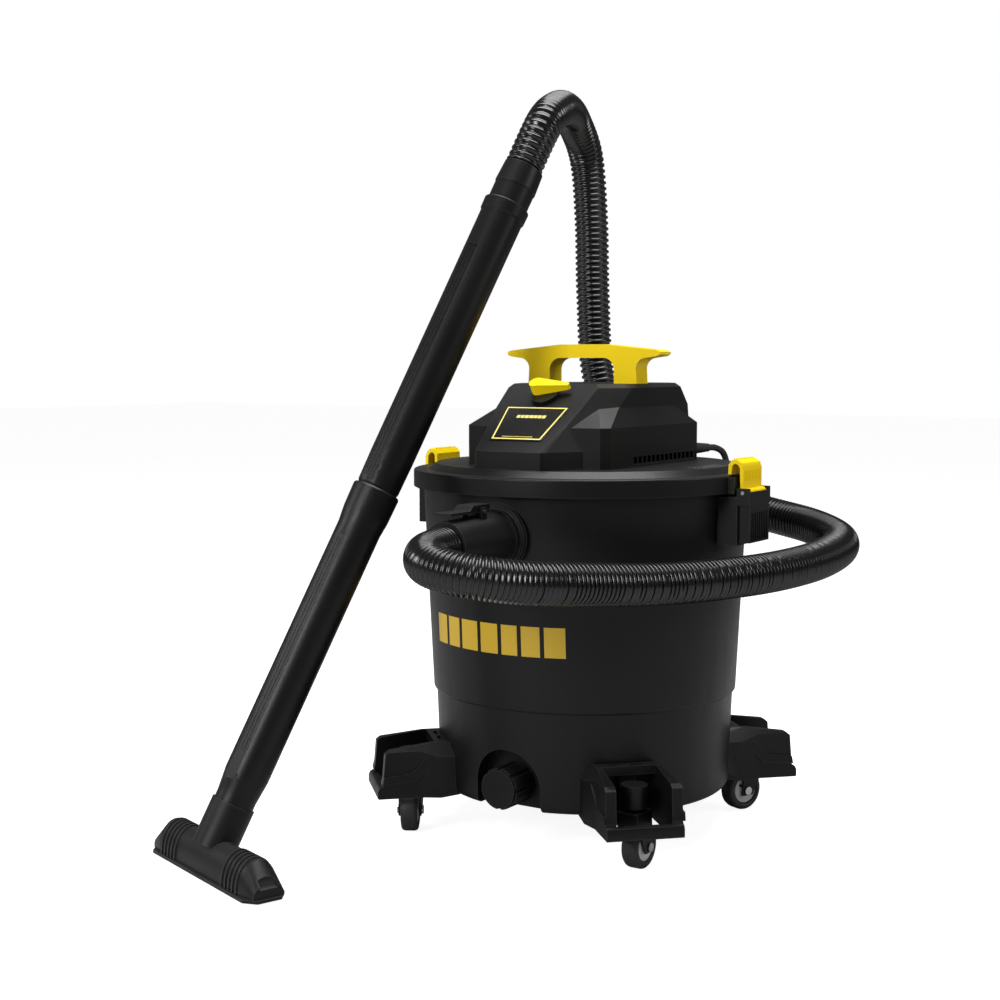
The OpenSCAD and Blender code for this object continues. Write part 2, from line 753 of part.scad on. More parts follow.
module label_plate() {
    long = 62;
    color([0.08, 0.08, 0.08]) on_slope() translate([0, -51, 0]) linear_extrude(1.2)
        polygon([[-34, -long / 2], [34, -long / 2], [42, long / 2], [-42, long / 2]]);
}

module switch_body() {
    color(GREY) on_slope() difference() {
        block([-15, -12, -34], [15, 12, -cover_wall - 1]);
        translate([0, 0, -16]) cylinder(h = 20, r = shaft_r + run_fit);
    }
}

module switch_knob() {
    color(YELLOW) on_slope() union() {
        translate([0, 0, -14]) cylinder(h = 15, r = shaft_r);
        translate([0, 0, body_gap]) cylinder(h = 5, r = 17);
        hull() {
            translate([-9, 3, 5]) cylinder(h = 14, r = 8, $fn = 32);
            translate([27, 9, 5]) cylinder(h = 7, r = 3, $fn = 32);
        }
    }
}

module fan_housing() {
    z = deck_z;
    color(METAL) difference() {
        union() {
            ring(ball_r, fan_r + 10, z, z + 3);
            ring(fan_r + 4, fan_r + 7, z + 2, z + 28);
            ring(shaft_r + 9, fan_r + 7, z + 25, z + 28);
        }
        along_y(fan_r - 10, fan_r + 20, 9, z + 14);
    }
}

module impeller() {
    z = deck_z;
    color(METAL) {
        ring(ball_r + 2, fan_r, z + 6, z + 7.5);
        difference() {
            union() {
                translate([0, 0, z + 19]) cylinder(h = 2.5, r = fan_r);
                translate([0, 0, z + 6]) cylinder(h = 14, r = shaft_r + 4);
            }
            translate([0, 0, z]) cylinder(h = 40, r = shaft_r);
        }
        for (i = [0:7]) rotate([0, 0, i * 45]) translate([shaft_r + 3, 0, z + 7]) rotate([0, 0, 18])
            cube([fan_r - shaft_r - 10, 2, 12.5]);
    }
}

module motor_shaft() {
    color("silver") translate([0, 0, deck_z + 4.5]) cylinder(h = 80, r = shaft_r);
}

module motor_body() {
    z = deck_z + 28;
    seat = shaft_r + 7;
    color([0.5, 0.5, 0.5]) difference() {
        union() {
            translate([0, 0, z]) cylinder(h = 52, r = motor_r - 6);
            translate([0, 0, z + 6]) cylinder(h = 36, r = motor_r);
        }
        translate([0, 0, z - 1]) cylinder(h = 60, r = shaft_r + 3);
        translate([0, 0, z - 1]) cylinder(h = 8, r = seat);
        translate([0, 0, z + 45]) cylinder(h = 8, r = seat);
        for (i = [0:11]) rotate([0, 0, i * 30]) translate([motor_r, 0, z])
            cylinder(h = 60, r = 2.5);
    }
}

module motor_bearings() {
    z = deck_z + 28;
    color("silver") for (h = [0, 45]) ring(shaft_r + run_fit, shaft_r + 7, z + h, z + h + 7);
}

module float_cage() {
    z = deck_z - cover_wall;
    cage_r = ball_r + 13;
    low = z - 86;
    color(GREY) difference() {
        union() {
            ring(ball_r - 2, eye_r + 12, z - 3, z);
            ring(cage_r - 2.5, cage_r, low, z - 2);
            translate([0, 0, low]) cylinder(h = 3, r = cage_r);
        }
        for (i = [0:5]) rotate([0, 0, i * 60]) block([5, -11, low + 8], [cage_r + 5, 11, z - 12]);
        for (i = [0:5]) rotate([0, 0, i * 60]) translate([cage_r / 2, 0, low - 1])
            cylinder(h = 6, r = 6);
    }
}

module float_ball() {
    color("orange") translate([0, 0, deck_z - cover_wall - 83 + ball_r + body_gap])
        sphere(r = ball_r);
}

filter_top = deck_z - cover_wall - 3 - body_gap - 5;

module filter_media() {
    color("ivory") translate([0, 0, filter_top - filter_h]) linear_extrude(filter_h) difference() {
        polygon([for (i = [0:2 * pleats - 1]) let (a = 180 * i / pleats, r = filter_r
            - (i % 2) * 13) [r * cos(a), r * sin(a)]]);
        circle(r = ball_r + 26);
    }
}

module filter_ring() {
    color("black") ring(ball_r + 24, filter_r + 3, filter_top, filter_top + 5);
}

module filter_cap() {
    z = filter_top - filter_h;
    color("black") translate([0, 0, z - 6]) cylinder(h = 6, r = filter_r + 3);
}

module blower_port() {
    color(GREY) difference() {
        along_y(104, 166, blower_r + 4, blower_z);
        along_y(103, 167, blower_r, blower_z);
    }
}

module cover_screws() {
    color(METAL) for (x = [-68, 68]) for (y = [-80, 96]) translate([x, y, deck_z - cover_wall]) {
        translate([0, 0, -2.6]) cylinder(h = 2.6, r = 4);
        cylinder(h = cover_wall + 8, r = 2);
    }
}

// ---------------------------------------------------------------- wand and floor nozzle

// A hollow tube on the wand's axis, with r_in inside and steps of [height, radius] outside
module wand_tube(s, steps, r_in) {
    n = len(steps);
    on_wand(s) rotate_extrude() polygon(concat([for (p = steps) [p[1], p[0]]],
        [[r_in, steps[n - 1][0]], [r_in, steps[0][0]]]));
}

// The flat grip panel cut along a wand
module grip_cut(s0, s1) {
    on_wand(s0) rotate([0, 0, grip_turn]) block([wand_r - 1.6, -8, 0], [wand_r + 9, 8, s1 - s0]);
}

module lower_wand() {
    tip = wand_end_r;
    socket = wand_end_r + run_fit;
    color(BLACK) difference() {
        wand_tube(0, [[neck_top - 28, tip], [neck_top + 8, tip], [neck_top + 34, wand_r],
            [bell_top - 48, wand_r], [bell_top - 30, wand_r + 1.8],
            [bell_top - 2, wand_r + 2.3], [bell_top, wand_r + 1]], tip - wand_wall);
        on_wand(bell_top - plug_in) cylinder(h = plug_in + 1, r = socket);
        grip_cut(neck_top + 25, bell_top - 62);
    }
}

module upper_wand() {
    tip = wand_end_r;
    socket = wand_end_r + run_fit;
    color(BLACK) difference() {
        wand_tube(0, [[bell_top - plug_in + 2, tip], [bell_top, tip], [bell_top + 4, wand_r - 0.6],
            [bell_top + 40, wand_r], [lip_top - 16, wand_r + 0.6], [lip_top - 14, wand_r + 2],
            [lip_top - 1, wand_r + 2.3], [lip_top, wand_r + 1.6]], tip - wand_wall);
        on_wand(lip_top - plug_in - 2) cylinder(h = plug_in + 3, r = socket);
        grip_cut(bell_top + 9, lip_top - 62);
    }
}

// Places children on the floor under the wand's foot, with +X along the nozzle
module on_nozzle() {
    translate([wand_foot[0] + 4, wand_foot[1] + 2, 0]) rotate([0, 0, nozzle_a]) children();
}

// Cross-section of the nozzle: x is front to back, y the height
module dome(w, h) {
    polygon(concat([[w, 4]], [for (a = [0:10:180]) [w * cos(a), 8 + (h - 8) * sin(a)]], [[-w, 4]]));
}

// A length of the nozzle's cross-section from x0 to x1
module nozzle_run(x0, x1, w, h) {
    translate([x0, 0, 0]) rotate([90, 0, 90]) linear_extrude(x1 - x0) dome(w, h);
}

module nozzle_end(x, w, h) {
    nozzle_run(x, x + 0.5, w, h);
}
module floor_nozzle() {
    w = nozzle_d / 2 - 3;
    long = nozzle_len / 2;
    color(BLACK) difference() {
        union() {
            on_nozzle() translate([0, -nozzle_fwd, 0]) {
                nozzle_run(24 - long, long - 24, w, nozzle_h);
                for (s = [0, 1]) mirror([s, 0, 0]) hull() {
                    nozzle_end(long - 24.5, w, nozzle_h);
                    nozzle_end(long - 3, w - 4, nozzle_h - 20);
                }
                translate([0, 0, 1.5]) linear_extrude(3.5)
                    polygon(concat([[long - 14, -w - 3], [long, -w + 8], [long, w - 8],
                        [long - 14, w + 3]], [[14 - long, w + 3], [-long, w - 8], [-long, 8 - w],
                        [14 - long, -w - 3]]));
                for (s = [-1, 1]) for (k = [0:4]) let (x = s * (long - 64 + k * 8))
                    nozzle_run(x - 1.5, x + 1.5, w + 1.4, nozzle_h + 1.6);
            }
            on_wand(-14) cylinder(h = neck_top + 14, r = wand_end_r + 2);
        }
        on_nozzle() translate([0, -nozzle_fwd, 0]) {
            nozzle_run(27 - long, long - 27, w - 3, nozzle_h - 6);
            block([27 - long, -w + 3, -1], [long - 27, w - 3, 9]);
            for (s = [-1, 1]) translate([s * (long + 6), 0, 27]) rotate([90, 0, 0])
                cylinder(h = 20, r = 15, center = true);
        }
        on_wand(neck_top - 30) cylinder(h = 32, r = wand_end_r + run_fit);
        on_wand(-12) cylinder(h = neck_top, r = wand_end_r - wand_wall);
        translate([-600, -800, -60]) cube([900, 900, 61.5]);
    }
}
module nozzle_strips() {
    w = nozzle_d / 2 - 3;
    long = nozzle_len / 2;
    color([0.1, 0.1, 0.1]) on_nozzle() translate([0, -nozzle_fwd, 0])
        for (s = [-1, 1])
        block([29 - long, s > 0 ? w - 6.5 : 3.5 - w, 0], [long - 29, s > 0 ? w - 3.5 : 6.5 - w, 9]);
}

// ---------------------------------------------------------------- nodes

tank();
inlet_port();
inlet_deflector();
drain_gasket();
drain_cap();
pod(0);  // pod_front_left
pod(1);  // pod_front_right
pod(2);  // pod_rear_left
pod(3);  // pod_rear_right
caster_fork(0);  // caster_fork_front_left
caster_fork(1);  // caster_fork_front_right
caster_fork(2);  // caster_fork_rear_left
caster_fork(3);  // caster_fork_rear_right
caster_axle(0);  // caster_axle_front_left
caster_axle(1);  // caster_axle_front_right
caster_axle(2);  // caster_axle_rear_left
caster_axle(3);  // caster_axle_rear_right
caster_wheel(0);  // caster_wheel_front_left
caster_wheel(1);  // caster_wheel_front_right
caster_wheel(2);  // caster_wheel_rear_left
caster_wheel(3);  // caster_wheel_rear_right
latch_keeper(-1);  // latch_keeper_left
latch_keeper(1);  // latch_keeper_right
latch_lever(-1);  // latch_lever_left
latch_lever(1);  // latch_lever_right
hinge_pins();
hose_connector();
lock_lever();
hose_tube();
hose_cuff();
strain_relief();
cord_tube();
cord_coil();
cord_tie();
plug();
lid();
lid_gasket();
head_cover();
vent_grilles();
carry_handle();
label_plate();
switch_body();
switch_knob();
fan_housing();
impeller();
motor_shaft();
motor_body();
motor_bearings();
float_cage();
float_ball();
filter_media();
filter_ring();
filter_cap();
blower_port();
cover_screws();
lower_wand();
upper_wand();
floor_nozzle();
nozzle_strips();
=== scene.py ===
import logging
import math
from dataclasses import dataclass
from enum import Enum
from typing import Callable, Iterable, Optional, Sequence

import bmesh
import bpy
import numpy as np
from mathutils import Matrix, Vector


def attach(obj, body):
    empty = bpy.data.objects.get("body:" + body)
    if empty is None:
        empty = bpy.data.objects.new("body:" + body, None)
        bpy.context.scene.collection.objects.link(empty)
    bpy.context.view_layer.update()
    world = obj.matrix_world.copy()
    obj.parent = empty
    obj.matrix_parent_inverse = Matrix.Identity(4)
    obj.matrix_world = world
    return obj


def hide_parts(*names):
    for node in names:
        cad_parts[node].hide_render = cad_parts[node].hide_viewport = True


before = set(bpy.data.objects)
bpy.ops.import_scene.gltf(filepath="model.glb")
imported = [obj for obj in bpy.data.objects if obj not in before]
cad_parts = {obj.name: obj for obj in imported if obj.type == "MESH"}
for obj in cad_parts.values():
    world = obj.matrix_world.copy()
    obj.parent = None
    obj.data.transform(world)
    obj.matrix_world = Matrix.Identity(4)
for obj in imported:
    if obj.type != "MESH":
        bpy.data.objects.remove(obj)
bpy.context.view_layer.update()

MM = 0.001
TO_METRES = Matrix.Diagonal((MM, MM, MM, 1))
FULL_TURN = 2 * math.pi
LOG = logging.getLogger("shop_vacuum")

# Cleaning of a CAD mesh: points this near are one (m), faces this near in angle are flat
# (radians), and edges that turn by more than this are shaded sharp (degrees).
SAME_POINT = 4e-6
SAME_PLANE = math.radians(0.8)
CAD_SHARP = 40.0

Vec = Sequence[float]
Mesh = bpy.types.Object


class Side(Enum):
    """Which side of the machine a piece is on, as the sign of its X."""

    LEFT = -1
    RIGHT = 1


class Corner(Enum):
    """The four caster corners: the pod's heading and the caster's trailing heading."""

    front_left = (-135.0, -60.0)
    front_right = (-45.0, 90.0)
    rear_left = (135.0, 100.0)
    rear_right = (45.0, -115.0)


# ---------------------------------------------------------------- routes

HOSE_ROUTE = [(0, -293, 360), (4, -332, 356), (34, -366, 350), (82, -366, 343),
              (122, -326, 335), (160, -256, 328), (196, -186, 323), (232, -108, 322),
              (262, -20, 324), (277, 68, 330), (262, 156, 338), (204, 218, 348),
              (122, 240, 361), (40, 241, 380), (-30, 234, 411), (-80, 219, 464),
              (-102, 209, 540), (-108, 206, 640), (-110, 204, 740), (-110, 190, 820),
              (-100, 140, 860), (-80, 84, 866), (-58, 26, 856), (-36, -38, 830),
              (-46, -67, 777)]
CORD_ROUTE = [(89.6, 150.9, 447), (93, 165, 446), (96, 181, 439), (96, 192, 422),
              (94, 196, 395), (94, 196, 320), (94, 196, 240), (94, 196, 160), (94, 196, 80),
              (92, 198, 38), (80, 202, 12), (58, 208, 5), (28, 216, 5), (-10, 223, 5),
              (-50, 227, 5)]
CORD_TAIL = [(-113, 334, 18), (-100, 350, 12), (-86, 359, 10)]


# ---------------------------------------------------------------- curves and meshes

def eased(share: float) -> float:
    """A share from 0 to 1 that starts and ends slowly; shares outside are held at the ends."""
    held = min(1.0, max(0.0, share))
    return held * held * (3 - 2 * held)


def catmull(points: np.ndarray, steps: int) -> np.ndarray:
    """Runs a smooth curve through points.

    Args:
        points: the points to pass through, one a row.
        steps: how many pieces each span is cut into.

    Returns:
        The points along the curve.
    """
    p = np.vstack([points[0], points, points[-1]]).astype(float)
    out = []
    for i in range(1, len(p) - 2):
        a, b, c, d = p[i - 1], p[i], p[i + 1], p[i + 2]
        for k in range(steps):
            t = k / steps
            out.append(0.5 * (2 * b + (c - a) * t + (2 * a - 5 * b + 4 * c - d) * t * t
                              + (3 * b - a - 3 * c + d) * t ** 3))
    out.append(p[-2])
    return np.array(out)


def arc_lengths(points: np.ndarray) -> np.ndarray:
    """The distance along a line of points at each of them."""
    return np.concatenate([[0.0], np.cumsum(np.linalg.norm(np.diff(points, axis=0), axis=1))])


def along(points: np.ndarray, places: np.ndarray) -> np.ndarray:
    """The points at given distances along a line of points."""
    s = arc_lengths(points)
    return np.stack([np.interp(places, s, points[:, k]) for k in range(3)], axis=1)


def steady_frames(points: np.ndarray) -> tuple[np.ndarray, np.ndarray]:
    """Two directions across a line of points at each of them, which turn as little as they can.

    Args:
        points: the line's points, one a row.

    Returns:
        The two sets of directions.
    """
    t = np.gradient(points, axis=0)
    t /= np.linalg.norm(t, axis=1)[:, None]
    side = np.cross(t[0], (0.2, 0.3, 1.0))
    sides = []
    for i in range(len(t)):
        side = side - np.dot(side, t[i]) * t[i]
        side = side / np.linalg.norm(side)
        sides.append(side)
    a = np.array(sides)
    return a, np.cross(t, a)


def from_rings(name: str, rings: np.ndarray, caps: bool = True, loop: bool = False) -> Mesh:
    """Makes a mesh that joins rings of points with four-sided faces.

    Args:
        name: the object's name.
        rings: points in metres, ring by ring.
        caps: whether the first and last ring are closed.
        loop: whether the last ring joins the first.

    Returns:
        The object.
    """
    n, m = rings.shape[:2]
    i, j = np.meshgrid(np.arange(n if loop else n - 1), np.arange(m), indexing="ij")
    nxt = (i + 1) % n
    across = (j + 1) % m
    quads = np.stack([i * m + j, i * m + across, nxt * m + across, nxt * m + j], axis=-1)
    faces = [tuple(int(v) for v in q) for q in quads.reshape(-1, 4)]
    if caps and not loop:
        faces.append(tuple(range(m - 1, -1, -1)))
        faces.append(tuple((n - 1) * m + k for k in range(m)))
    mesh = bpy.data.meshes.new(name)
    mesh.from_pydata([tuple(v) for v in rings.reshape(-1, 3)], [], faces)
    return link(name, mesh)


def place_object(name: str, data: bpy.types.ID) -> Mesh:
    """Puts a mesh, a light or a camera in the scene.

    Args:
        name: the object's name.
        data: what the object shows.

    Returns:
        The object.
    """
    obj = bpy.data.objects.new(name, data)
    bpy.context.scene.collection.objects.link(obj)
    return obj


def link(name: str, mesh: bpy.types.Mesh) -> Mesh:
    """Puts a mesh in the scene as an object with even face directions.

    Args:
        name: the object's name.
        mesh: its mesh.

    Returns:
        The object.
    """
    bm = bmesh.new()
    bm.from_mesh(mesh)
    bmesh.ops.recalc_face_normals(bm, faces=bm.faces)
    bm.to_mesh(mesh)
    bm.free()
    return place_object(name, mesh)


def sheet(name: str, verts: Sequence[Vec], faces: Sequence[Sequence[int]]) -> Mesh:
    """Makes an open mesh of given points and faces, such as a printed mark.

    Args:
        name: the object's name.
        verts: the points.
        faces: the points of each face, by number.

    Returns:
        The object.
    """
    mesh = bpy.data.meshes.new(name)
    mesh.from_pydata(verts, [], faces)
    return place_object(name, mesh)


def sweep(name: str, path: np.ndarray, radii: np.ndarray, sides: int) -> Mesh:
    """Makes a round tube of changing radius along a path in millimetres.

    Args:
        name: the object's name.
        path: the points of the tube's middle.
        radii: the radius at each point.
        sides: how many sides each ring has.

    Returns:
        The object.
    """
    a, b = steady_frames(path)
    turn = np.linspace(0, FULL_TURN, sides, endpoint=False)
    ring = (a[:, None, :] * np.cos(turn)[None, :, None]
            + b[:, None, :] * np.sin(turn)[None, :, None])
    return from_rings(name, (path[:, None, :] + radii[:, None, None] * ring) * MM)


def revolve(name: str, outline: Sequence[Vec], place: Matrix, segments: int = 64,
            closed: bool = True) -> Mesh:
    """Turns an outline round an axis.

    Args:
        name: the object's name.
        outline: pairs of radius and height in millimetres.
        place: where the axis stands, in millimetres.
        segments: how many steps a turn takes.
        closed: whether the outline closes on itself.

    Returns:
        The object.
    """
    turn = np.linspace(0, FULL_TURN, segments, endpoint=False)
    p = np.array(outline, float)
    rings = np.stack([np.stack([p[:, 0] * math.cos(t), p[:, 0] * math.sin(t), p[:, 1]], axis=1)
                      for t in turn])
    obj = from_rings(name, rings, caps=False, loop=True) if closed else \
        from_rings(name, rings.transpose(1, 0, 2), caps=True)
    return moved(obj, place)


def moved(obj: Mesh, place: Matrix) -> Mesh:
    """Moves a mesh built in millimetres to its place and turns it to metres."""
    obj.data.transform(TO_METRES @ place)
    return obj


def prism(name: str, outline: Sequence[Vec], low: float, high: float, place: Matrix,
          edge: float = 0.0, steps: int = 3) -> Mesh:
    """Extrudes a flat outline and rounds its edges.

    Args:
        name: the object's name.
        outline: pairs of x and y in millimetres.
        low: the lower height.
        high: the upper height.
        place: where the outline's frame stands, in millimetres.
        edge: the radius of the rounded edges in millimetres.
        steps: how many faces a rounded edge has.

    Returns:
        The object.
    """
    bm = bmesh.new()
    bottom = [bm.verts.new((x, y, low)) for x, y in outline]
    top = [bm.verts.new((x, y, high)) for x, y in outline]
    n = len(outline)
    bm.faces.new(bottom[::-1])
    bm.faces.new(top)
    for i in range(n):
        bm.faces.new((bottom[i], bottom[(i + 1) % n], top[(i + 1) % n], top[i]))
    if edge > 0:
        bmesh.ops.bevel(bm, geom=[e for e in bm.edges if e.calc_face_angle(0) > 0.3],
                        offset=edge, segments=steps, profile=0.5, affect="EDGES",
                        clamp_overlap=True)
    bmesh.ops.transform(bm, matrix=TO_METRES @ place, verts=bm.verts)
    mesh = bpy.data.meshes.new(name)
    bm.to_mesh(mesh)
    bm.free()
    return link(name, mesh)


def block(name: str, low: Vec, high: Vec, place: Matrix, edge: float = 0.6) -> Mesh:
    """Makes a box with rounded edges, in millimetres.

    Args:
        name: the object's name.
        low: the corner with the least x, y and z.
        high: the opposite corner.
        place: where the corners' frame stands.
        edge: the radius of the rounded edges.

    Returns:
        The object.
    """
    x0, y0, z0 = low
    x1, y1, z1 = high
    return prism(name, [(x0, y0), (x1, y0), (x1, y1), (x0, y1)], z0, z1, place, edge, 2)


def joined(name: str, parts: Iterable[Mesh]) -> Mesh:
    """Makes one object of several.

    Args:
        name: the new object's name.
        parts: the objects, which are used up.

    Returns:
        The object.
    """
    bm = bmesh.new()
    for part in parts:
        bm.from_mesh(part.data)
        bpy.data.objects.remove(part)
    mesh = bpy.data.meshes.new(name)
    bm.to_mesh(mesh)
    bm.free()
    return link(name, mesh)


def shade(obj: Mesh, angle: float = 32.0) -> None:
    """Shades a mesh smooth, but for its sharp edges.

    Args:
        obj: the mesh object.
        angle: the turn in degrees from which an edge is sharp.
    """
    bm = bmesh.new()
    bm.from_mesh(obj.data)
    limit = math.radians(angle)
    for face in bm.faces:
        face.smooth = True
    for edge in bm.edges:
        edge.smooth = len(edge.link_faces) == 2 and edge.calc_face_angle(math.pi) < limit
    bm.to_mesh(obj.data)
    bm.free()


def even_normals(obj: Mesh) -> None:
    """Weights the shading normals by face size, so that flat faces look flat.

    Args:
        obj: the mesh object, which gets the weighted mesh as its own.
    """
    even = obj.modifiers.new("even", "WEIGHTED_NORMAL")
    even.keep_sharp = True
    even.weight = 60
    graph = bpy.context.evaluated_depsgraph_get()
    mesh = bpy.data.meshes.new_from_object(obj.evaluated_get(graph))
    obj.modifiers.clear()
    obj.data = mesh


def cad_copy(name: str, node: str, edge: float, steps: int = 2, angle: float = 28.0) -> Mesh:
    """Copies a CAD node's mesh, cleans it and rounds its edges.

    Args:
        name: the new object's name.
        node: the CAD node.
        edge: the radius of the rounded edges in millimetres.
        steps: how many faces a rounded edge has.
        angle: the smallest turn, in degrees, that counts as an edge.

    Returns:
        The object.
    """
    bm = bmesh.new()
    bm.from_mesh(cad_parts[node].data)
    bmesh.ops.remove_doubles(bm, verts=bm.verts, dist=SAME_POINT)
    bmesh.ops.dissolve_limit(bm, angle_limit=SAME_PLANE, verts=bm.verts, edges=bm.edges)
    if edge > 0:
        sharp = [e for e in bm.edges if len(e.link_faces) == 2
                 and e.calc_face_angle(0) > math.radians(angle)]
        bmesh.ops.bevel(bm, geom=sharp, offset=edge * MM, segments=steps, profile=0.5,
                        affect="EDGES", clamp_overlap=True)
    mesh = bpy.data.meshes.new(name)
    bm.to_mesh(mesh)
    bm.free()
    obj = link(name, mesh)
    shade(obj, CAD_SHARP)
    even_normals(obj)
    return obj


# ---------------------------------------------------------------- shader groups

class Nodes:
    """Adds nodes and links to one node tree in few words."""

    def __init__(self, tree: bpy.types.NodeTree) -> None:
        """Starts on an empty tree."""
        self.tree = tree
        tree.nodes.clear()

    def add(self, kind: str, **values: object) -> bpy.types.Node:
        """Adds a node.

        Args:
            kind: the node's type.
            values: attributes of the node, or inputs named in_NAME with spaces as _.

        Returns:
            The node.
        """
        node = self.tree.nodes.new(kind)
        for key, value in values.items():
            if key.startswith("in_"):
                socket = node.inputs[int(key[3:])] if key[3:].isdigit() \
                    else node.inputs[key[3:].replace("_", " ")]
                if isinstance(value, bpy.types.NodeSocket):
                    self.tree.links.new(value, socket)
                else:
                    socket.default_value = value
            else:
                setattr(node, key, value)
        return node

    def maths(self, operation: str, a: object, b: object = 0.0, clamp: bool = False
              ) -> bpy.types.NodeSocket:
        """Adds a Math node and returns its result."""
        return self.add("ShaderNodeMath", operation=operation, use_clamp=clamp,
                        in_0=a, in_1=b).outputs[0]

    def noise(self, scale: object, detail: float, **values: object) -> bpy.types.NodeSocket:
        """Adds a noise over the object's own coordinates and returns its value."""
        return self.add("ShaderNodeTexNoise", in_Vector=self.where(), in_Scale=scale,
                        in_Detail=detail, **values).outputs[0]

    def where(self) -> bpy.types.NodeSocket:
        """Adds the object's own coordinates and returns them."""
        return self.add("ShaderNodeTexCoord").outputs["Object"]

    def mixed(self, share: object, first: object, second: object) -> bpy.types.NodeSocket:
        """Adds a mix of two colours and returns it."""
        return self.add("ShaderNodeMix", data_type="RGBA", in_0=share, in_6=first,
                        in_7=second).outputs[2]

    def use(self, name: str, output: str, **values: object) -> bpy.types.NodeSocket:
        """Adds a named shader group and returns one of its outputs."""
        return self.add("ShaderNodeGroup", node_tree=effect(name), **values).outputs[output]


def make_group(name: str, inputs: dict[str, float], output: str) -> tuple[
        bpy.types.NodeTree, Nodes, bpy.types.Node]:
    """Starts a shader group with float inputs and one float output.

    Args:
        name: the group's name.
        inputs: each input's name and default value.
        output: the output's name.

    Returns:
        The tree, its helper and its Group Input node.
    """
    tree = bpy.data.node_groups.new(name, "ShaderNodeTree")
    kit = Nodes(tree)
    for key, value in inputs.items():
        socket = tree.interface.new_socket(name=key, in_out="INPUT",
                                           socket_type="NodeSocketFloat")
        socket.default_value = value
    tree.interface.new_socket(name=output, in_out="OUTPUT", socket_type="NodeSocketFloat")
    return tree, kit, kit.add("NodeGroupInput")


def mould_grain_group() -> bpy.types.NodeTree:
    """The fine texture of a moulded surface, as a height.

    Returns:
        The group's tree.
    """
    tree, kit, given = make_group("mould_grain", {"Scale": 900.0, "Softness": 0.5}, "Height")
    fine = kit.noise(given.outputs["Scale"], 2.0, in_Roughness=given.outputs["Softness"])
    pits = kit.add("ShaderNodeTexVoronoi", in_Vector=kit.where(),
                   in_Scale=kit.maths("MULTIPLY", given.outputs["Scale"], 0.55)).outputs[0]
    total = kit.maths("ADD", fine, kit.maths("MULTIPLY", pits, 0.5))
    kit.add("NodeGroupOutput", in_Height=total)
    return tree


def edge_wear_group() -> bpy.types.NodeTree:
    """A mask of the edges that hands and floors rub.

    Returns:
        The group's tree.
    """
    tree, kit, given = make_group("edge_wear", {"Width": 0.0015, "Amount": 0.5,
                                                "Breakup": 60.0}, "Mask")
    rounded = kit.add("ShaderNodeBevel", samples=4, in_Radius=given.outputs["Width"]).outputs[0]
    flat = kit.add("ShaderNodeNewGeometry").outputs["Normal"]
    dot = kit.add("ShaderNodeVectorMath", operation="DOT_PRODUCT", in_0=rounded,
                  in_1=flat).outputs["Value"]
    bent = kit.maths("MULTIPLY", kit.maths("SUBTRACT", 1.0, dot), 6.0, True)
    patch = kit.noise(given.outputs["Breakup"], 4.0)
    worn = kit.maths("MULTIPLY", bent, kit.maths("MULTIPLY_ADD", patch, 1.6))
    mask = kit.maths("MULTIPLY", worn, given.outputs["Amount"], True)
    kit.add("NodeGroupOutput", in_Mask=mask)
    return tree


def floor_dust_group() -> bpy.types.NodeTree:
    """A mask of the thin dust that settles on faces that look up.

    Returns:
        The group's tree.
    """
    tree, kit, given = make_group("floor_dust", {"Amount": 0.2, "Scale": 25.0}, "Mask")
    facing = kit.add("ShaderNodeNewGeometry").outputs["Normal"]
    up = kit.add("ShaderNodeSeparateXYZ", in_Vector=facing).outputs["Z"]
    level = kit.maths("POWER", kit.maths("MAXIMUM", up, 0.0), 3.0)
    patch = kit.noise(given.outputs["Scale"], 6.0)
    share = kit.maths("MULTIPLY", level, given.outputs["Amount"])
    specks = kit.maths("MULTIPLY", patch, share, True)
    kit.add("NodeGroupOutput", in_Mask=specks)
    return tree


def mottle_group() -> bpy.types.NodeTree:
    """A slow change between two values over the surface, such as uneven gloss.

    Returns:
        The group's tree.
    """
    tree, kit, given = make_group("mottle", {"Scale": 9.0, "Low": 0.4, "High": 0.5}, "Value")
    patch = kit.noise(given.outputs["Scale"], 3.0)
    value = kit.add("ShaderNodeMapRange", in_Value=patch, in_1=0.3, in_2=0.7,
                    in_3=given.outputs["Low"], in_4=given.outputs["High"]).outputs[0]
    kit.add("NodeGroupOutput", in_Value=value)
    return tree


# ---------------------------------------------------------------- finishes

GROUPS: dict[str, bpy.types.NodeTree] = {}

# What all the finishes share: the size of their colour patches, the dust and how much it
# dulls the gloss, and the height of the grain in metres.
PATCH_SCALE = 14.0
DUST_COLOUR = (0.35, 0.33, 0.30, 1.0)
DUST_MATTING = 0.5
GRAIN_HEIGHT = 0.0006
BLACK = (0.0042, 0.0042, 0.0045)
BLACK_GLOSS = 0.26


def effect(name: str) -> bpy.types.NodeTree:
    """The named shader group, which is built the first time.

    Args:
        name: the group's name.

    Returns:
        The group's tree.
    """
    makers: dict[str, Callable[[], bpy.types.NodeTree]] = {
        "mould_grain": mould_grain_group, "edge_wear": edge_wear_group,
        "floor_dust": floor_dust_group, "mottle": mottle_group}
    if name not in GROUPS:
        GROUPS[name] = makers[name]()
    return GROUPS[name]


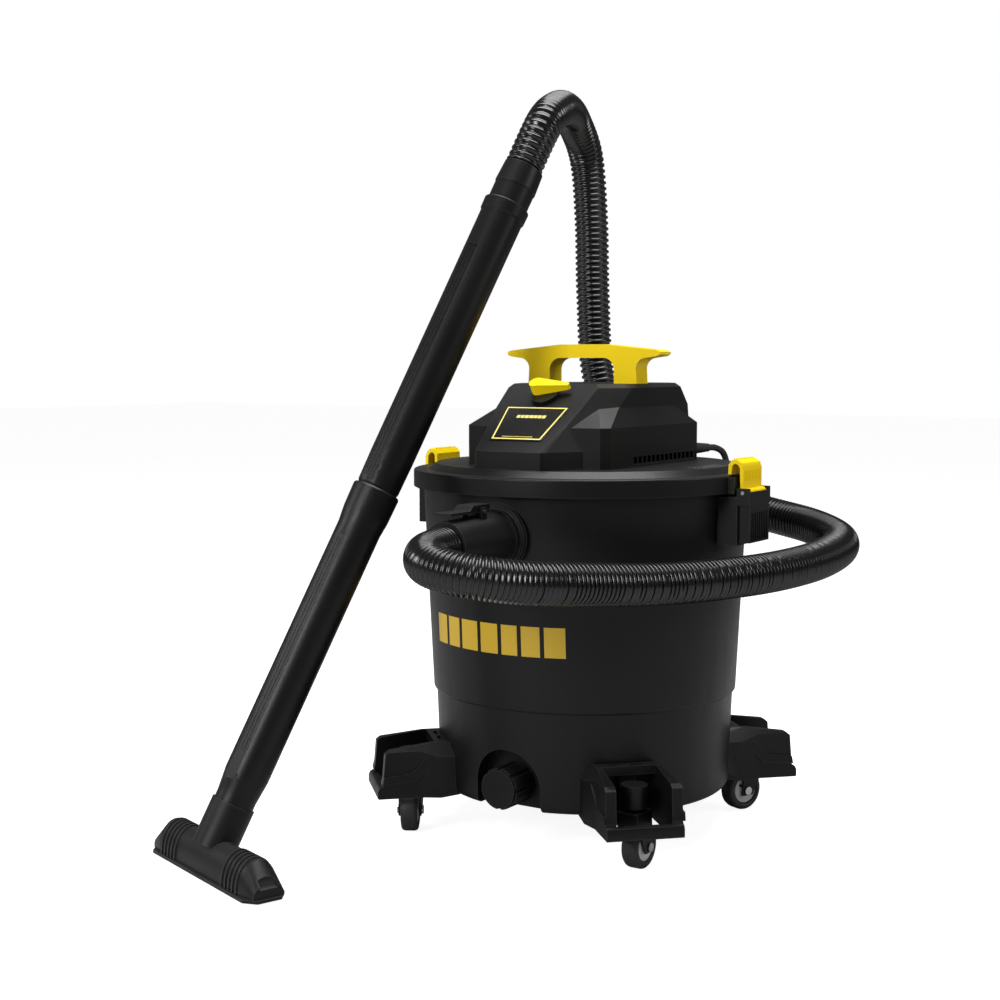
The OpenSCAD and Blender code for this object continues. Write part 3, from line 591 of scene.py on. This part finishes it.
@dataclass(frozen=True)
class Finish:
    """A surface finish and how it varies over the surface."""

    name: str
    slot: str
    colour: tuple[float, float, float]
    rough: tuple[float, float] = (0.42, 0.5)
    tint: float = 0.12
    grain: float = 900.0
    depth: float = 0.02
    wear: float = 0.35
    worn: tuple[float, float, float] = (0.05, 0.05, 0.05)
    dust: float = 0.04
    metallic: float = 0.0
    coat: float = 0.0
    coat_rough: float = 0.2
    specular: float = 0.5
    sheen: float = 0.0

    def material(self) -> bpy.types.Material:
        """The finish's material, which is built the first time.

        Returns:
            The material.
        """
        found = bpy.data.materials.get(self.name)
        if found is not None:
            return found
        mat = bpy.data.materials.new(self.name)
        mat.use_nodes = True
        kit = Nodes(mat.node_tree)
        dark = tuple(c * (1 - self.tint) for c in self.colour) + (1.0,)
        light = tuple(min(1.0, c * (1 + self.tint)) for c in self.colour) + (1.0,)
        base = kit.mixed(kit.noise(PATCH_SCALE, 5.0), dark, light)
        rub = kit.use("edge_wear", "Mask", in_Amount=self.wear)
        rubbed = kit.mixed(rub, base, self.worn + (1.0,))
        dust = kit.use("floor_dust", "Mask", in_Amount=self.dust)
        dusty = kit.mixed(dust, rubbed, DUST_COLOUR)
        rough = kit.use("mottle", "Value", in_Low=self.rough[0], in_High=self.rough[1])
        rough = kit.maths("ADD", rough, kit.maths("MULTIPLY", dust, DUST_MATTING), True)
        height = kit.use("mould_grain", "Height", in_Scale=self.grain)
        bump = kit.add("ShaderNodeBump", in_Strength=self.depth, in_Distance=GRAIN_HEIGHT,
                       in_Height=height).outputs[0]
        shader = kit.add("ShaderNodeBsdfPrincipled", in_Base_Color=dusty,
                         in_Roughness=rough, in_Normal=bump, in_Metallic=self.metallic,
                         in_Coat_Weight=self.coat, in_Coat_Roughness=self.coat_rough,
                         in_Specular_IOR_Level=self.specular, in_Sheen_Weight=self.sheen)
        kit.add("ShaderNodeOutputMaterial", in_Surface=shader.outputs[0])
        return mat


class Dress:
    """The finishes of this machine."""

    TANK = Finish("tank_plastic", "tank_black", BLACK, (0.36, 0.44),
                  grain=1500, depth=0.10, specular=BLACK_GLOSS)
    LID = Finish("lid_plastic", "lid_black", BLACK, (0.34, 0.42),
                 grain=1400, depth=0.08, specular=BLACK_GLOSS)
    COVER = Finish("cover_plastic", "cover_black", BLACK, (0.36, 0.46),
                   grain=1400, depth=0.10, specular=BLACK_GLOSS)
    TRIM = Finish("trim_plastic", "trim_black", BLACK, (0.36, 0.46),
                  grain=1200, depth=0.10, wear=0.5, specular=BLACK_GLOSS)
    HOSE = Finish("hose_vinyl", "hose_black", (0.005, 0.005, 0.006), (0.16, 0.24),
                  grain=700, depth=0.02, wear=0.15, dust=0.02)
    WAND = Finish("wand_plastic", "wand_black", BLACK, (0.34, 0.42),
                  grain=1300, depth=0.06, specular=BLACK_GLOSS)
    NOZZLE = Finish("nozzle_plastic", "nozzle_black", BLACK, (0.40, 0.50),
                    grain=1100, depth=0.12, wear=0.7, dust=0.08, specular=BLACK_GLOSS)
    YELLOW = Finish("yellow_plastic", "yellow", (0.98, 0.70, 0.002), (0.36, 0.44), tint=0.03,
                    grain=1300, depth=0.05, wear=0.1, worn=(0.98, 0.74, 0.05), dust=0.01,
                    specular=0.2)
    LABEL = Finish("label_film", "label_black", (0.006, 0.006, 0.006), (0.22, 0.28),
                   grain=600, depth=0.01, wear=0.0)
    LABEL_LINE = Finish("label_print", "yellow", (0.95, 0.80, 0.22), (0.30, 0.36), tint=0.03,
                        grain=600, depth=0.01, wear=0.0)
    DECAL = Finish("tank_decal", "yellow", (0.62, 0.40, 0.02), (0.34, 0.42), tint=0.04,
                   grain=1500, depth=0.05, wear=0.0)
    TREAD = Finish("wheel_tread", "wheel_black", (0.018, 0.018, 0.019), (0.45, 0.6),
                   grain=500, depth=0.15, wear=0.5, dust=0.15)
    HUB = Finish("wheel_hub", "hub_grey", (0.68, 0.68, 0.69), (0.35, 0.45), tint=0.05,
                 grain=900, depth=0.05, wear=0.2, worn=(0.6, 0.6, 0.6))
    STEEL = Finish("turned_steel", "steel", (0.55, 0.55, 0.56), (0.22, 0.34), metallic=1.0,
                   grain=400, depth=0.04, wear=0.2, worn=(0.75, 0.75, 0.75))
    MOTOR = Finish("motor_alloy", "motor_steel", (0.50, 0.50, 0.51), (0.35, 0.5), metallic=1.0,
                   grain=300, depth=0.12, wear=0.3, worn=(0.7, 0.7, 0.7))
    RUBBER = Finish("seal_rubber", "rubber", (0.014, 0.014, 0.014), (0.6, 0.75),
                    grain=800, depth=0.1, wear=0.1, specular=0.35)
    CORD = Finish("cord_jacket", "cord_black", (0.012, 0.012, 0.013), (0.42, 0.52),
                  grain=900, depth=0.06, wear=0.1)
    PAPER = Finish("filter_paper", "paper", (0.72, 0.68, 0.58), (0.8, 0.9), tint=0.06,
                   grain=700, depth=0.3, wear=0.1, worn=(0.6, 0.56, 0.46), dust=0.3)
    FLOAT = Finish("float_plastic", "float_orange", (0.78, 0.22, 0.03), (0.3, 0.4), tint=0.04,
                   grain=900, depth=0.03, wear=0.1, worn=(0.85, 0.4, 0.15))


def dress(obj: Mesh, finish: Finish, body: str, replaces: Sequence[str] = (),
          angle: Optional[float] = 32.0) -> Mesh:
    """Gives a piece its finish, its body and the CAD nodes it stands for.

    Args:
        obj: the piece.
        finish: its surface finish.
        body: the body it moves with.
        replaces: CAD nodes that it stands for.
        angle: the shading angle in degrees, or None to leave the shading.

    Returns:
        The piece.
    """
    if angle is not None:
        shade(obj, angle)
    obj.data.materials.clear()
    obj.data.materials.append(finish.material())
    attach(obj, body)
    if replaces:
        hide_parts(*replaces)
    LOG.info("%s on %s: %d faces", obj.name, body, len(obj.data.polygons))
    return obj


def keep(node: str, finish: Finish) -> None:
    """Leaves a CAD node as it is, with a finish of its own.

    Args:
        node: the CAD node.
        finish: its surface finish.
    """
    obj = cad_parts[node]
    obj.data.materials.clear()
    obj.data.materials.append(finish.material())
    LOG.info("%s keeps its shape", node)


def skin(node: str, finish: Finish, body: str, edge: float, steps: int = 2,
         angle: float = 28.0) -> Mesh:
    """Stands for a CAD node with the same shape and rounded edges.

    Args:
        node: the CAD node.
        finish: the piece's surface finish.
        body: the body it moves with.
        edge: the radius of the rounded edges in millimetres.
        steps: how many faces a rounded edge has.
        angle: the smallest turn, in degrees, that counts as an edge.

    Returns:
        The piece.
    """
    obj = cad_copy(node + "_moulding", node, edge, steps, angle)
    return dress(obj, finish, body, (node,), None)


# ---------------------------------------------------------------- hose and power cord

@dataclass
class Hose:
    """The ribbed hose from the port to the wand's cuff, in millimetres."""

    diameter: float = 45.0
    groove: float = 2.5
    pitch: float = 5.2
    stretched: float = 7.4
    stretched_from: float = 0.55
    stretched_over: float = 0.12
    crest_drop: float = 0.45
    sides: int = 30

    def line(self) -> np.ndarray:
        """The hose's middle line."""
        return catmull(np.array(HOSE_ROUTE, float), 24)

    def build(self) -> None:
        """Builds the hose and the cuff that plugs it on the wand."""
        line = self.line()
        total = arc_lengths(line)[-1]
        places, radii = [], []
        crest = self.diameter / 2
        floor, brow = crest - self.groove, crest - self.crest_drop
        shape = [(0.0, floor), (0.16, floor), (0.3, brow), (0.5, crest), (0.7, brow),
                 (0.86, floor)]
        s = 0.0
        while s < total - self.stretched:
            share = eased((s / total - self.stretched_from) / self.stretched_over)
            step = self.pitch + (self.stretched - self.pitch) * share
            for at, radius in shape:
                places.append(s + at * step)
                radii.append(radius)
            s += step
        places.append(total)
        radii.append(floor)
        path = along(line, np.array(places))
        tube = sweep("hose", path, np.array(radii), self.sides)
        dress(tube, Dress.HOSE, "base", ("hose_tube",), 70)
        cuff = skin("hose_cuff", Dress.WAND, "base", 0.8)


@dataclass
class PowerCord:
    """The mains lead: over the rim, down behind the tank and into a neat coil."""

    diameter: float = 8.0
    middle: tuple[float, float] = (-70.0, 282.0)
    coil_low: float = 0.8
    coil_r: float = 46.0
    rows: int = 4
    start: float = math.radians(-103)
    past_last: float = 0.236
    per_turn: int = 36
    step_over: float = 0.25
    ring_gap: float = 3.2

    def turns(self) -> np.ndarray:
        """The points of the coiled length, from the outer bottom turn to the top one.

        Returns:
            The points in millimetres, one a row.
        """
        out = []
        last = self.rows * self.rows
        total = last + self.past_last
        for k in range(int(total * self.per_turn) + 1):
            t = k / self.per_turn
            i = min(int(t), last - 1)
            ease = eased((t - i - (1 - self.step_over)) / self.step_over)
            here, there = self.seat(i), self.seat(min(i + 1, last - 1))
            r = here[0] + (there[0] - here[0]) * ease
            z = here[1] + (there[1] - here[1]) * ease
            a = self.start - FULL_TURN * t
            out.append((self.middle[0] + r * math.cos(a), self.middle[1] + r * math.sin(a), z))
        return np.array(out)

    def seat(self, i: int) -> tuple[float, float]:
        """Where a turn lies in the coil's section.

        Args:
            i: the turn's number.

        Returns:
            Its radius and its height.
        """
        layer, place = divmod(i, self.rows)
        column = self.rows - 1 - place if layer % 2 == 0 else place
        d = self.diameter
        return (self.coil_r + (column - (self.rows - 1) / 2) * d,
                self.coil_low + d / 2 + layer * d)

    def build(self) -> None:
        """Builds the lead, its strain relief, its tie and its plug."""
        turns = self.turns()
        route = catmull(np.array(CORD_ROUTE, float), 12)
        lead_in = catmull(np.vstack([CORD_ROUTE[-2], CORD_ROUTE[-1], turns[0], turns[2]]), 12)
        inside = lead_in[12:24]
        lead_out = catmull(np.vstack([turns[-3], turns[-1], *CORD_TAIL]), 12)[12:]
        line = np.vstack([route[:-1], inside, turns, lead_out[1:]])
        total = arc_lengths(line)[-1]
        line = along(line, np.linspace(0, total, int(total / self.ring_gap)))
        lead = sweep("power_lead", line, np.full(len(line), self.diameter / 2), 12)
        dress(lead, Dress.CORD, "head", ("cord_tube", "cord_coil"), 60)
        relief = skin("strain_relief", Dress.CORD, "head", 0.5)
        tie = skin("cord_tie", Dress.RUBBER, "head", 0.3)
        plug = skin("plug", Dress.CORD, "head", 1.6, 3)


# ---------------------------------------------------------------- tank

@dataclass
class Tank:
    """The tank with its port, drain, latch keepers and printed bars."""

    rim_r: float = 193.0
    rim_z: float = 408.0
    step_r: float = 181.6
    step_z: float = 168.0
    decal_z: float = 246.0
    decal_h: float = 34.0
    decal_heading: float = math.radians(-96)
    decal_lift: float = 0.25
    bar_widths: tuple[int, ...] = (24, 22, 26, 24, 20, 22, 24)
    bar_gap: float = 5.0
    bar_spans: int = 8
    rib_count: int = 9
    rib_gap: float = 5.0
    rib_half: float = 0.9
    rib_faces: tuple[tuple[float, ...], ...] = (
        (203.4, 209.4, 443.9, 445.7), (216.6, 217.9, 421.0, 433.0))

    def radius(self, z: float) -> float:
        """The radius of the upper wall at a height."""
        share = (z - self.step_z) / (self.rim_z - self.step_z)
        return self.step_r + (self.rim_r - self.step_r) * share

    def decal(self) -> None:
        """A row of plain bars printed on the front."""
        spans = self.bar_spans
        run = -(sum(self.bar_widths) + self.bar_gap * (len(self.bar_widths) - 1)) / 2
        bars = []
        for i, width in enumerate(self.bar_widths):
            verts = []
            for z in (self.decal_z - self.decal_h / 2, self.decal_z + self.decal_h / 2):
                r = self.radius(z) + self.decal_lift
                headings = [self.decal_heading + (run + width * k / spans) / r
                            for k in range(spans + 1)]
                verts += [(r * math.cos(a) * MM, r * math.sin(a) * MM, z * MM)
                          for a in headings]
            above = spans + 1
            bars.append(sheet(f"bar_{i}", verts, [(k, k + 1, k + 1 + above, k + above)
                                                  for k in range(spans)]))
            run += width + self.bar_gap
        dress(joined("tank_bars", bars), Dress.DECAL, "base")

    def build(self) -> None:
        """Builds the tank and what is fixed to it."""
        skin("tank", Dress.TANK, "base", 1.3)
        self.decal()
        skin("inlet_port", Dress.TRIM, "base", 0.8)
        keep("inlet_deflector", Dress.TRIM)
        keep("drain_gasket", Dress.RUBBER)
        skin("drain_cap", Dress.TRIM, "drain_lid", 1.2)
        skin("hose_connector", Dress.TRIM, "base", 0.8)
        skin("lock_lever", Dress.TRIM, "lock", 0.8)
        keep("hinge_pins", Dress.STEEL)
        for side in Side:
            word = side.name.lower()
            skin(f"latch_keeper_{word}", Dress.TRIM, "base", 0.7)
            skin(f"latch_lever_{word}", Dress.YELLOW, f"latch_{word}", 1.6, 3)
            ribs = []
            place = Matrix.Rotation(math.pi if side is Side.LEFT else 0.0, 4, "Z")
            for k in range(self.rib_count):
                y = (k - self.rib_count // 2) * self.rib_gap
                for x0, x1, z0, z1 in self.rib_faces:
                    ribs.append(block("rib", (x0, y - self.rib_half, z0),
                                      (x1, y + self.rib_half, z1), place, 0.3))
            dress(joined(f"lever_ribs_{word}", ribs), Dress.YELLOW, f"latch_{word}")


# ---------------------------------------------------------------- casters

@dataclass
class Caster:
    """One caster pod with its fork, axle and wheel, in millimetres."""

    corner: Corner
    swivel_r: float = 212.0
    trail: float = 12.0
    wheel_r: float = 25.0
    wheel_w: float = 20.0
    bore_r: float = 3.05
    web_r: float = 9.0
    web_inset: float = 2.2
    tread_side: tuple[tuple[float, float], ...] = (
        (7.5, 2.2), (6.6, 0.6), (5.4, 0.0), (2.2, 0.6), (0.6, 2.2), (0.0, 4.4))
    mark_turn: float = math.radians(40)

    def axle(self) -> Matrix:
        """Where the wheel's axis stands, with Z along it.

        Returns:
            The axis's frame in millimetres.
        """
        pod, heading = (math.radians(a) for a in self.corner.value)
        centre = Vector((self.swivel_r * math.cos(pod) + self.trail * math.cos(heading),
                         self.swivel_r * math.sin(pod) + self.trail * math.sin(heading),
                         self.wheel_r))
        return (Matrix.Translation(centre) @ Matrix.Rotation(heading, 4, "Z")
                @ Matrix.Rotation(math.pi / 2, 4, "X"))

    def build(self) -> None:
        """Builds the pod and the caster under it."""
        word = self.corner.name
        skin(f"pod_{word}", Dress.TRIM, "base", 1.6, 3)
        skin(f"caster_fork_{word}", Dress.TRIM, f"caster_{word}", 0.6)
        keep(f"caster_axle_{word}", Dress.STEEL)
        h, r = self.wheel_w / 2, self.wheel_r
        place = self.axle()
        half = [(self.bore_r, self.web_inset), (self.web_r, self.web_inset)]
        half += [(r - drop, inset) for drop, inset in self.tread_side]
        outline = [(x, -h + inset) for x, inset in half]
        outline += [(x, h - inset) for x, inset in reversed(half)]
        tread = revolve(f"tread_{word}", outline, place, 72)
        dress(tread, Dress.TREAD, f"wheel_{word}", (f"caster_wheel_{word}",))
        hubs = []
        for s in (-1, 1):
            z = s * (h - self.web_inset)
            hubs.append(revolve(f"hub_{s}", [
                (3.2, z), (3.2, z + s * 1.6), (6.5, z + s * 1.9), (7.2, z + s * 0.9),
                (r - 10, z + s * 0.9), (r - 9.2, z + s * 0.5), (r - 9, z)], place, 48))
        dress(joined(f"hub_{word}", hubs), Dress.HUB, f"wheel_{word}")
        turned = place @ Matrix.Rotation(self.mark_turn, 4, "Z")
        marks = []
        for s in (-1, 1):
            low, high = sorted((s * (h - 1.4), s * (h - 1.0)))
            marks.append(block("mark", (6.8, -1.6, low), (12.2, 1.6, high), turned, 0.15))
        dress(joined(f"hub_mark_{word}", marks), Dress.TREAD, f"wheel_{word}")


# ---------------------------------------------------------------- powerhead

@dataclass
class PowerHead:
    """The lid, the head cover and everything that lifts off with them."""

    knob_at: tuple[float, float, float] = (0.0, -90.0, 513.49)
    slope: float = math.radians(35.96)
    deck_z: float = 434.0
    foot_h: float = 5.6
    dot_rows: int = 5
    dot_reach: int = 7
    dot_gap: float = 4.4
    dots_r: float = 156.0

    def on_slope(self) -> Matrix:
        """The frame of the sloping front at the switch, with Z standing off it."""
        return Matrix.Translation(self.knob_at) @ Matrix.Rotation(self.slope, 4, "X")

    def label(self) -> None:
        """The label plate with its border and plain printed bars."""
        skin("label_plate", Dress.LABEL, "head", 0.3)
        place = self.on_slope() @ Matrix.Translation((0, -51, 1.2))
        top, low, long = 42.0, 34.0, 31.0
        lines = []

        def edge(inset: float) -> list[tuple[float, float]]:
            """The label's outline pulled in by inset."""
            return [(-low + inset, -long + inset), (low - inset, -long + inset),
                    (top - inset * 1.1, long - inset), (-top + inset * 1.1, long - inset)]

        outer, inner = edge(1.9), edge(3.7)
        verts = [(*p, 0.12) for p in outer] + [(*p, 0.12) for p in inner]
        border = sheet("border", verts,
                       [(i, (i + 1) % 4, 4 + (i + 1) % 4, 4 + i) for i in range(4)])
        lines.append(moved(border, place))
        run = -19.0
        for w in (4.5, 4, 5, 5, 4, 4.5, 4.5):
            lines.append(block("mark", (run, 9.5, 0.02), (run + w, 14.5, 0.12), place, 0))
            run += w + 1.1
        for k in range(14):
            run = -20 + k * 2.9
            lines.append(block("dash", (run, -25, 0.02), (run + 1.8, -23.9, 0.12), place, 0))
        dress(joined("label_marks", lines), Dress.LABEL_LINE, "head", (), None)
        slot = block("index", (-3.4, -19.5, 0.05), (3.4, -13.5, 0.5), self.on_slope(), 0.2)
        dress(slot, Dress.LABEL, "head")

    def knob(self) -> None:
        """Builds the knob as a dark round foot with a yellow pointer on it."""
        place = self.on_slope()
        level = place @ Vector((0, 0, self.foot_h)) * MM
        away = (place.to_3x3() @ Vector((0, 0, 1))).normalized()
        for name, finish, top in (("knob_foot", Dress.TRIM, True),
                                  ("knob_pointer", Dress.YELLOW, False)):
            obj = cad_copy(name, "switch_knob", 1.4, 3)
            bm = bmesh.new()
            bm.from_mesh(obj.data)
            cut = bmesh.ops.bisect_plane(bm, geom=bm.verts[:] + bm.edges[:] + bm.faces[:],
                                         plane_co=level, plane_no=away,
                                         clear_outer=top, clear_inner=not top)
            rim = [e for e in cut["geom_cut"] if isinstance(e, bmesh.types.BMEdge)]
            bmesh.ops.holes_fill(bm, edges=rim, sides=0)
            bm.to_mesh(obj.data)
            bm.free()
            dress(obj, finish, "knob", ("switch_knob",))

    def deck_dots(self) -> None:
        """Adds the patch of small raised dots on the deck beside each latch."""
        dots = []
        outline = [(0.01, 0.7), (0.7, 0.6), (1.3, 0.0), (1.3, -0.3)]
        for side in Side:
            heading = 0.0 if side is Side.RIGHT else math.pi
            for row in range(self.dot_rows):
                for col in range(-self.dot_reach, self.dot_reach + 1):
                    r = self.dots_r + row * self.dot_gap
                    a = heading + (col + row % 2 / 2) * self.dot_gap / r
                    place = Matrix.Translation((r * math.cos(a), r * math.sin(a), self.deck_z))
                    dots.append(revolve("dot", outline, place, 8, False))
        dress(joined("deck_dots", dots), Dress.LID, "head")

    def build(self) -> None:
        """Builds the powerhead."""
        self.deck_dots()
        skin("lid", Dress.LID, "head", 0.8)
        skin("head_cover", Dress.COVER, "head", 5.5, 4, 12)
        skin("carry_handle", Dress.YELLOW, "head", 4.0, 4)
        self.label()
        self.knob()
        skin("vent_grilles", Dress.TRIM, "head", 0.3)
        skin("blower_port", Dress.TRIM, "head", 0.8)
        for node, finish in (("lid_gasket", Dress.RUBBER), ("switch_body", Dress.TRIM),
                             ("motor_body", Dress.MOTOR), ("fan_housing", Dress.MOTOR),
                             ("motor_bearings", Dress.STEEL), ("float_cage", Dress.TRIM),
                             ("cover_screws", Dress.STEEL), ("motor_shaft", Dress.STEEL),
                             ("impeller", Dress.MOTOR), ("float_ball", Dress.FLOAT),
                             ("filter_media", Dress.PAPER), ("filter_ring", Dress.RUBBER),
                             ("filter_cap", Dress.TRIM)):
            keep(node, finish)


# ---------------------------------------------------------------- wand and nozzle

@dataclass
class Wand:
    """The two wand tubes and the floor nozzle they stand on."""

    foot: tuple[float, float, float] = (-225.0, -401.0, 41.0)
    tilt: float = math.radians(27.3)
    heading: float = math.radians(61.8)
    panel: float = math.radians(-158)
    flat: float = 23.4
    line_places: tuple[float, ...] = (-7.2, -2.4, 2.4, 7.2)
    line_half: float = 0.45
    upper_lines: tuple[float, float] = (430.0, 712.0)
    lower_lines: tuple[float, float] = (95.0, 348.0)

    def on_wand(self, s: float) -> Matrix:
        """The frame on the wand's axis at the distance s from its foot."""
        return (Matrix.Translation(self.foot) @ Matrix.Rotation(self.heading, 4, "Z")
                @ Matrix.Rotation(self.tilt, 4, "Y") @ Matrix.Translation((0, 0, s)))

    def grip_lines(self, which: str, low: float, high: float) -> None:
        """Adds the fine raised lines along a tube's flat grip panel.

        Args:
            which: the tube's name.
            low: where the lines start along the wand.
            high: where they end.
        """
        lines = []
        place = self.on_wand(0) @ Matrix.Rotation(self.panel, 4, "Z")
        for around in self.line_places:
            lines.append(block("line", (self.flat - 0.6, around - self.line_half, low),
                               (self.flat + 0.35, around + self.line_half, high), place, 0.15))
        dress(joined(f"grip_lines_{which}", lines), Dress.WAND, f"wand_{which}")

    def build(self) -> None:
        """Builds the wand and the nozzle."""
        skin("upper_wand", Dress.WAND, "wand_upper", 0.6)
        skin("lower_wand", Dress.WAND, "wand_lower", 0.6)
        self.grip_lines("upper", *self.upper_lines)
        self.grip_lines("lower", *self.lower_lines)
        skin("floor_nozzle", Dress.NOZZLE, "base", 0.5)
        keep("nozzle_strips", Dress.RUBBER)


# ---------------------------------------------------------------- studio

@dataclass
class Studio:
    """The floor, the lights and the camera."""

    eye: tuple[float, float, float] = (0.9585, -1.6602, 0.5548)
    look: tuple[float, float, float] = (-0.5433, 0.8350, -0.0868)
    lens: float = 57.6
    fill: float = 0.14
    floor_glow: float = 0.90
    floor_half: float = 14.0

    def camera(self) -> None:
        """Makes the camera."""
        data = bpy.data.cameras.new("camera")
        data.lens = self.lens
        data.sensor_width = 36.0
        data.clip_end = 50.0
        cam = place_object("camera", data)
        cam.location = self.eye
        cam.rotation_mode = "QUATERNION"
        cam.rotation_quaternion = Vector(self.look).to_track_quat("-Z", "Y")
        bpy.context.scene.camera = cam

    def light(self, name: str, at: Vec, towards: Vec, size: float, power: float) -> None:
        """Adds a square softbox.

        Args:
            name: the light's name.
            at: its middle.
            towards: the point that it faces.
            size: its side in metres.
            power: its power in watts.
        """
        data = bpy.data.lights.new(name, "AREA")
        data.size = size
        data.energy = power
        obj = place_object(name, data)
        obj.location = at
        obj.rotation_mode = "QUATERNION"
        obj.rotation_quaternion = (Vector(towards) - Vector(at)).to_track_quat("-Z", "Y")

    def build(self) -> None:
        """Builds the floor and the lights."""
        mesh = bpy.data.meshes.new("floor")
        r = self.floor_half
        mesh.from_pydata([(-r, -r, 0), (r, -r, 0), (r, r, 0), (-r, r, 0)], [], [(0, 1, 2, 3)])
        floor = link("floor", mesh)
        mat = bpy.data.materials.new("floor_white")
        mat.use_nodes = True
        kit = Nodes(mat.node_tree)
        seen = kit.add("ShaderNodeLightPath").outputs["Is Camera Ray"]
        shader = kit.add("ShaderNodeBsdfPrincipled", in_Base_Color=(0.5, 0.5, 0.5, 1),
                         in_Roughness=0.8, in_Specular_IOR_Level=0.2,
                         in_Emission_Color=(1, 1, 1, 1),
                         in_Emission_Strength=kit.maths("MULTIPLY", seen, self.floor_glow))
        kit.add("ShaderNodeOutputMaterial", in_Surface=shader.outputs[0])
        floor.data.materials.append(mat)
        world = bpy.data.worlds.new("studio")
        world.use_nodes = True
        kit = Nodes(world.node_tree)
        seen = kit.add("ShaderNodeLightPath").outputs["Is Camera Ray"]
        level = kit.maths("MULTIPLY_ADD", seen, 1.0 - self.fill)
        level.node.inputs[2].default_value = self.fill
        sky = kit.add("ShaderNodeBackground", in_Color=(1, 1, 1, 1), in_Strength=level)
        kit.add("ShaderNodeOutputWorld", in_Surface=sky.outputs[0])
        bpy.context.scene.world = world
        bpy.context.scene.view_settings.view_transform = "Standard"
        self.light("top", (0.1, 0.1, 2.6), (0, 0, 0.2), 1.8, 84)
        self.light("left", (-2.2, -1.4, 1.3), (0, 0, 0.3), 0.9, 14)
        self.light("right", (2.3, 0.6, 1.3), (0, 0, 0.4), 0.7, 12)
        self.light("front", (-0.5, -3.0, 1.5), (0, 0, 0.4), 1.0, 48)


def main() -> None:
    """Builds the whole machine, its cords first."""
    logging.basicConfig(level=logging.INFO, format="%(message)s")
    studio = Studio()
    studio.camera()
    Hose().build()
    PowerCord().build()
    Tank().build()
    for corner in Corner:
        Caster(corner).build()
    PowerHead().build()
    Wand().build()
    studio.build()


if __name__ == "__main__":
    main()
